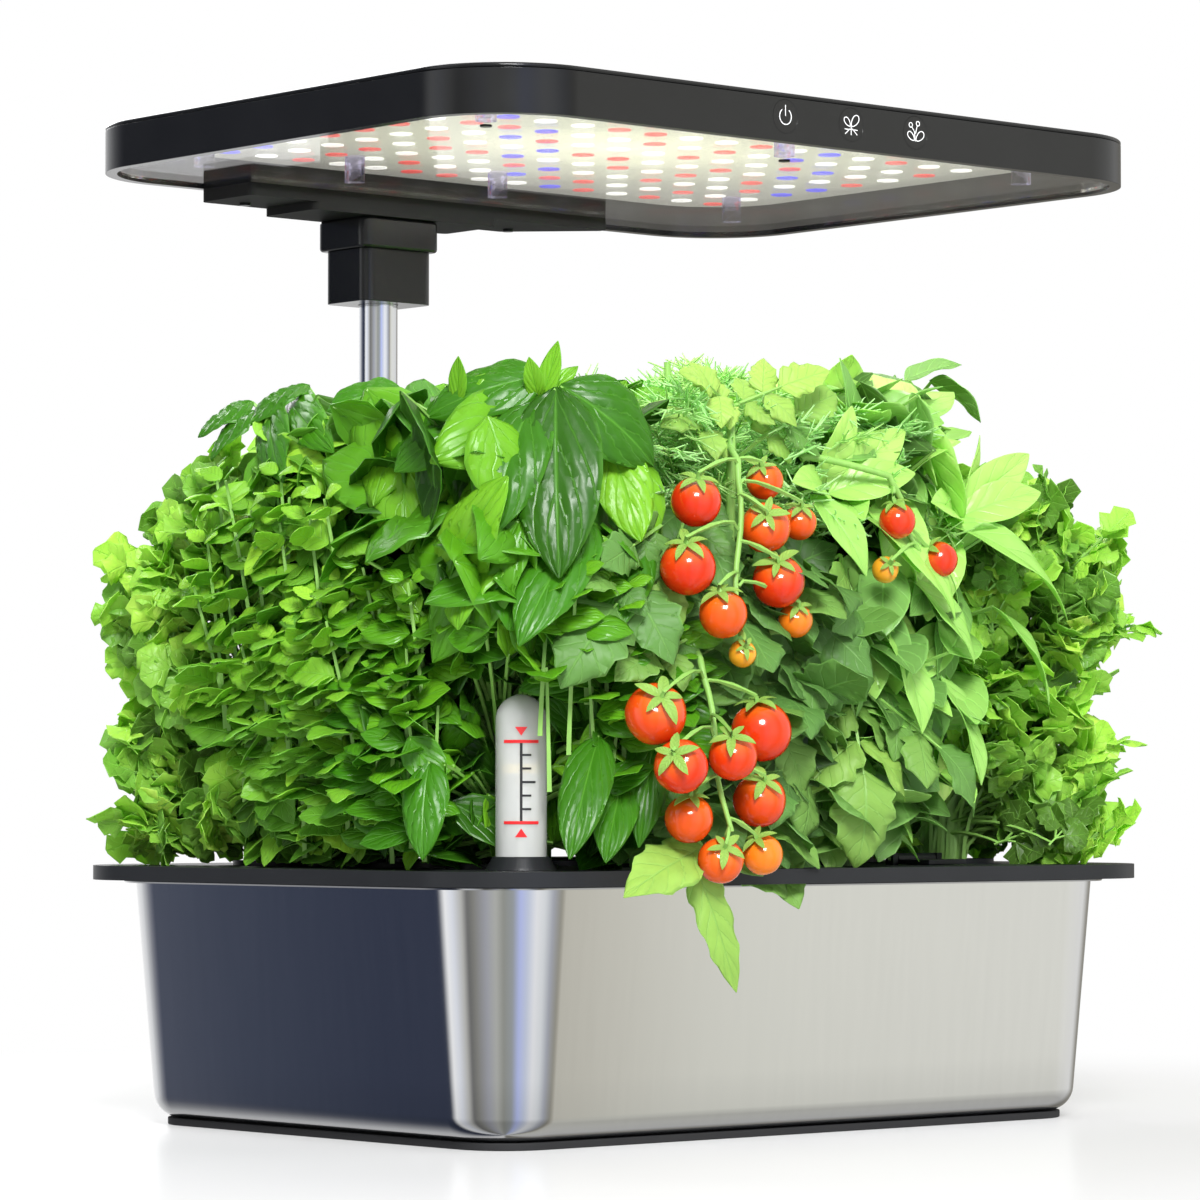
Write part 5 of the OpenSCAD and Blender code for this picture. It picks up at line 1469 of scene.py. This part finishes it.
class GARDEN_OT_tomato(bpy.types.Operator):
    """Grows the tomato plant with its lobed leaves and two hanging trusses"""

    bl_idname = "garden.tomato"
    bl_label = "Tomato plant"

    FEATURE = (
        ((-99, -134, 121), (-142, -150, 94), 0.5), ((-107, -134, 89), (-160, -148, 65), 0.5),
        ((-146, -134, 90), (-178, -150, 62), 0.55), ((-117, -134, 66), (-142, -150, 31), 0.4),
        ((-83, -136, 90), (-121, -150, 81), 0.5), ((3, -132, 126), (3, -150, 80), 0.5),
        ((8, -132, 72), (1, -150, 26), 0.65), ((25, -132, 68), (54, -150, 41), 0.5),
        ((-96, -134, 134), (-128, -148, 122), 0.5), ((-112, -136, 106), (-140, -150, 112), 0.45),
        ((-27, -134, 51), (-16, -146, 83), 0.3), ((-50, -124, 183), (-74, -134, 193), 0.9),
        ((-48, -124, 184), (-24, -136, 195), 0.9), ((-54, -122, 170), (-80, -132, 178), 0.85),
        ((-36, -124, 170), (-12, -132, 186), 0.8))
    TALL_STEM = ((-44, -112, 60), (-52, -126, 130), (-54, -129, 168), (-50, -124, 186))
    TALL_STEM_RADII = (0.0022, 0.0021, 0.0019, 0.0015)
    # The usual length of a leaf's rib, its end leaflet, and the place and length of the pairs beside it
    REACH = 0.036
    LEAFLET = 0.034
    PAIRS = ((0.62, 0.027), (0.22, 0.022))
    OVER_RIM = (((-87, -149, 9), (-142, -165, -9), 26, 0.35, 0.85), ((-97, -155, 2), (-80, -160, -47), 17, 0.3, 0.75))

    def execute(self, context):
        plant = Plant("tomato_plant", seeded(6))
        rng = plant.rng
        plant.main_stem(1, 0, 0.205, 0.003)
        for count, back, shade in ((44, 0.0, 0.42), (32, 0.024, 0.05)):
            place, way = spots(rng, plant.node, 1, 0, count, 0.012, 0.140, depth=0.008)
            for tip, out in zip(place - way * back, way):
                axis = unit(out * 0.8 - UP * rng.uniform(-0.2, 0.7) + rng.normal(size=3) * 0.4)
                self.compound(plant, tip - axis * 0.030, axis, out, self.REACH, shade)
        stalks(plant.stems, [[over_deck(p) for p in self.TALL_STEM]], np.array([self.TALL_STEM_RADII]), 0.5, 6)
        for foot, tip, shade in self.FEATURE:
            foot, tip = over_deck(foot), over_deck(tip)
            far = np.linalg.norm(tip - foot)
            self.compound(plant, foot, unit(tip - foot), unit(foot * OUTWARD), far * 0.75, shade)
        plant.feature("tomato", self.OVER_RIM, pod(1, 0))
        self.trusses(plant)
        plant.seat("tomato", "tomato_leaf", mirrored=False)
        return {"FINISHED"}

    def compound(self, plant, base, axis, out, reach, shade):
        """A leaf of five leaflets on a common rib."""
        habit, rng = HABITS["tomato"], plant.rng
        root = pod(1, 0)
        face = unit(out * 0.8 + UP * 0.6 + rng.normal(size=3) * 0.25)
        side = unit(np.cross(face, axis))
        corners = np.stack([base, base + axis * reach * 1.3, base + axis * reach * 0.6 + side * 0.02,
                            base + axis * reach * 0.6 - side * 0.02])[None]
        base = base + UP * raised(corners)[0]
        if blocked(corners)[0]:
            return
        low = max(DECK_TOP + 0.01, base[2] - 0.03 - np.linalg.norm(base[:2] - root[:2]) * 0.6)
        path = arch(np.array([[root[0], root[1], low]]), base[None], 0.35)
        stalks(plant.stems, path, np.linspace(0.0013, 0.0009, 7)[None], 0.6)
        rib = np.stack([base, base + axis * reach * 0.55, base + axis * reach])
        stalks(plant.stems, rib[None], np.array([[0.0009, 0.0008, 0.0005]]), 0.6)
        spot, ways, long = [base + axis * reach * 0.95], [axis], [self.LEAFLET]
        for along, size in self.PAIRS:
            for turn in (-1, 1):
                spot.append(base + axis * reach * along + side * turn * 0.001)
                ways.append(unit(axis * 0.6 + side * turn))
                long.append(size)
        count = len(long)
        long = np.array(long) * rng.uniform(0.85, 1.2) * reach / self.REACH
        plant.blades(habit, np.array(spot), np.array(ways), np.tile(face, (count, 1)), long, long * habit.wide,
                     rng.uniform(0.2, 1.1, size=count), rng.uniform(-0.25, 0.15, size=count),
                     shade + rng.normal(size=count) * 0.08)

    def trusses(self, plant):
        """The fruit stalks, with a knuckled stalk and a star of sepals for each fruit."""
        habit, rng, stems = HABITS["sepal"], plant.rng, plant.stems
        axes = iter(fruit_axes())
        for top, foot, way_back, fruit in TRUSSES:
            a, b = over_deck(top), over_deck(foot)
            root = a + np.array(way_back) * MM
            path = arch(root[None], a[None], 0.1, 8)[0]
            line = np.concatenate([path, [a + (b - a) * k for k in np.linspace(0.1, 1, 10)]])
            line[8:, 0] += np.sin(np.linspace(0, 7, 10)) * 0.0016
            stalks(stems, line[None], np.linspace(0.0017, 0.0010, len(line))[None], 0.6, 6)
            for x, y, z, r in fruit:
                axis = next(axes)
                crown = over_deck((x, y, z)) + axis * r * 0.90 * MM
                level = np.clip((a[2] - crown[2] - 0.008) / (a[2] - b[2]), 0, 1)
                node = a + (b - a) * level
                stem = arch(node[None], (crown + axis * 0.004)[None], 0.2, 6)[0]
                stem = np.concatenate([stem, [crown + axis * 0.001]])
                thick = np.array([[1.0, 0.9, 0.9, 1.4, 1.0, 1.0, 1.5]]) * 0.0008
                stalks(stems, stem[None], thick, 0.6)
                u = unit(np.cross(axis, (1.0, 0.2, 0.1)))
                v = np.cross(axis, u)
                sepals = 5
                turn = np.arange(sepals) * 2 * math.pi / sepals + rng.random() * 6
                ways = u * np.cos(turn)[:, None] + v * np.sin(turn)[:, None] + axis * 0.30
                long = np.full(sepals, r * MM) * rng.uniform(*habit.long, size=sepals)
                plant.blades(habit, np.tile(crown + axis * 0.0012, (sepals, 1)), unit(ways),
                             np.tile(axis, (sepals, 1)), long, long * habit.wide,
                             rng.uniform(*habit.bend, size=sepals), np.full(sepals, habit.fold[0]),
                             np.full(sepals, 0.8))


class GARDEN_OT_fruit(bpy.types.Operator):
    """Shapes one cherry tomato and copies it along the trusses"""

    bl_idname = "garden.fruit"
    bl_label = "Tomatoes"

    # How ripe each kind is; fruit below a radius in millimetres is green, and these in front are turning
    GREEN, ORANGE, RED = 0.2, 0.45, (0.66, 0.95)
    GREEN_BELOW = 6
    TURNING = ((-70, -164), (-40, -151), (17.5, -143))

    def execute(self, context):
        rng = seeded(8)
        growth = Growth()
        rows, columns = 17, 28
        polar = np.linspace(0, math.pi, rows)[:, None]
        turn = np.linspace(0, 2 * math.pi, columns, endpoint=False)[None, :]
        for (x, y, z, r), axis in zip(ALL_FRUIT, fruit_axes()):
            lobes = 1 + 0.010 * np.cos(5 * turn + rng.random() * 6) * np.sin(polar)
            dimple = 1 - 0.13 * np.exp(-(polar / 0.42) ** 2) - 0.02 * np.exp(-((math.pi - polar) / 0.25) ** 2)
            radius = r * MM * 0.995 * dimple * lobes
            u = unit(np.cross(axis, (1.0, 0.2, 0.1)))
            v = np.cross(axis, u)
            ball = ((radius * np.sin(polar) * np.cos(turn))[..., None] * u
                    + (radius * np.sin(polar) * np.sin(turn))[..., None] * v
                    + (radius * np.cos(polar) * np.ones_like(turn))[..., None] * axis)
            a = np.arange(rows * columns).reshape(rows, columns)
            b = np.roll(a, -1, axis=1)
            faces = np.stack([a[:-1], a[1:], b[1:], b[:-1]], axis=-1)
            uv = np.stack(np.broadcast_arrays(turn / (2 * math.pi), 1 - polar / math.pi), axis=-1)
            if r < self.GREEN_BELOW:
                ripe = self.GREEN
            else:
                ripe = self.ORANGE if (x, y) in self.TURNING else rng.uniform(*self.RED)
            growth.add(over_deck((x, y, z)) + ball, faces, uv, np.full(rows * columns, ripe))
        fruit = tidy_mesh(growth.mesh("tomatoes"))
        finish_piece(fruit, body_of("tomato_fruit"), "tomato_skin", node="tomato_fruit", angle=80)
        return {"FINISHED"}


PIECES = (GARDEN_OT_stage, GARDEN_OT_lights, GARDEN_OT_carried, GARDEN_OT_tank, GARDEN_OT_moulded, GARDEN_OT_icons,
          GARDEN_OT_gauge_marks, GARDEN_OT_basil, GARDEN_OT_mint, GARDEN_OT_pepper, GARDEN_OT_parsley,
          GARDEN_OT_dill, GARDEN_OT_tomato, GARDEN_OT_fruit)


class GARDEN_PT_panel(bpy.types.Panel):
    """Lists the settings and the pieces of the garden"""

    bl_label = "Hydroponic garden"
    bl_idname = "GARDEN_PT_panel"
    bl_space_type = "VIEW_3D"
    bl_region_type = "UI"
    bl_category = "Garden"

    def draw(self, context):
        layout = self.layout
        for group in (context.scene.garden_sizes, context.scene.garden_colours):
            for name in group.__annotations__:
                layout.prop(group, name)
        for piece in PIECES:
            layout.operator(piece.bl_idname, text=piece.bl_label)


CLASSES = (GardenSizes, GardenColours, *PIECES, GARDEN_PT_panel)


def register():
    for item in CLASSES:
        bpy.utils.register_class(item)
    bpy.types.Scene.garden_sizes = bpy.props.PointerProperty(type=GardenSizes)
    bpy.types.Scene.garden_colours = bpy.props.PointerProperty(type=GardenColours)


def unregister():
    del bpy.types.Scene.garden_colours
    del bpy.types.Scene.garden_sizes
    for item in reversed(CLASSES):
        bpy.utils.unregister_class(item)


def main():
    """Builds the garden piece by piece."""
    register()
    FINISH.update(make_finishes())
    for piece in PIECES:
        getattr(bpy.ops.garden, piece.bl_idname.split(".")[1])()


if __name__ == "__main__":
    main()
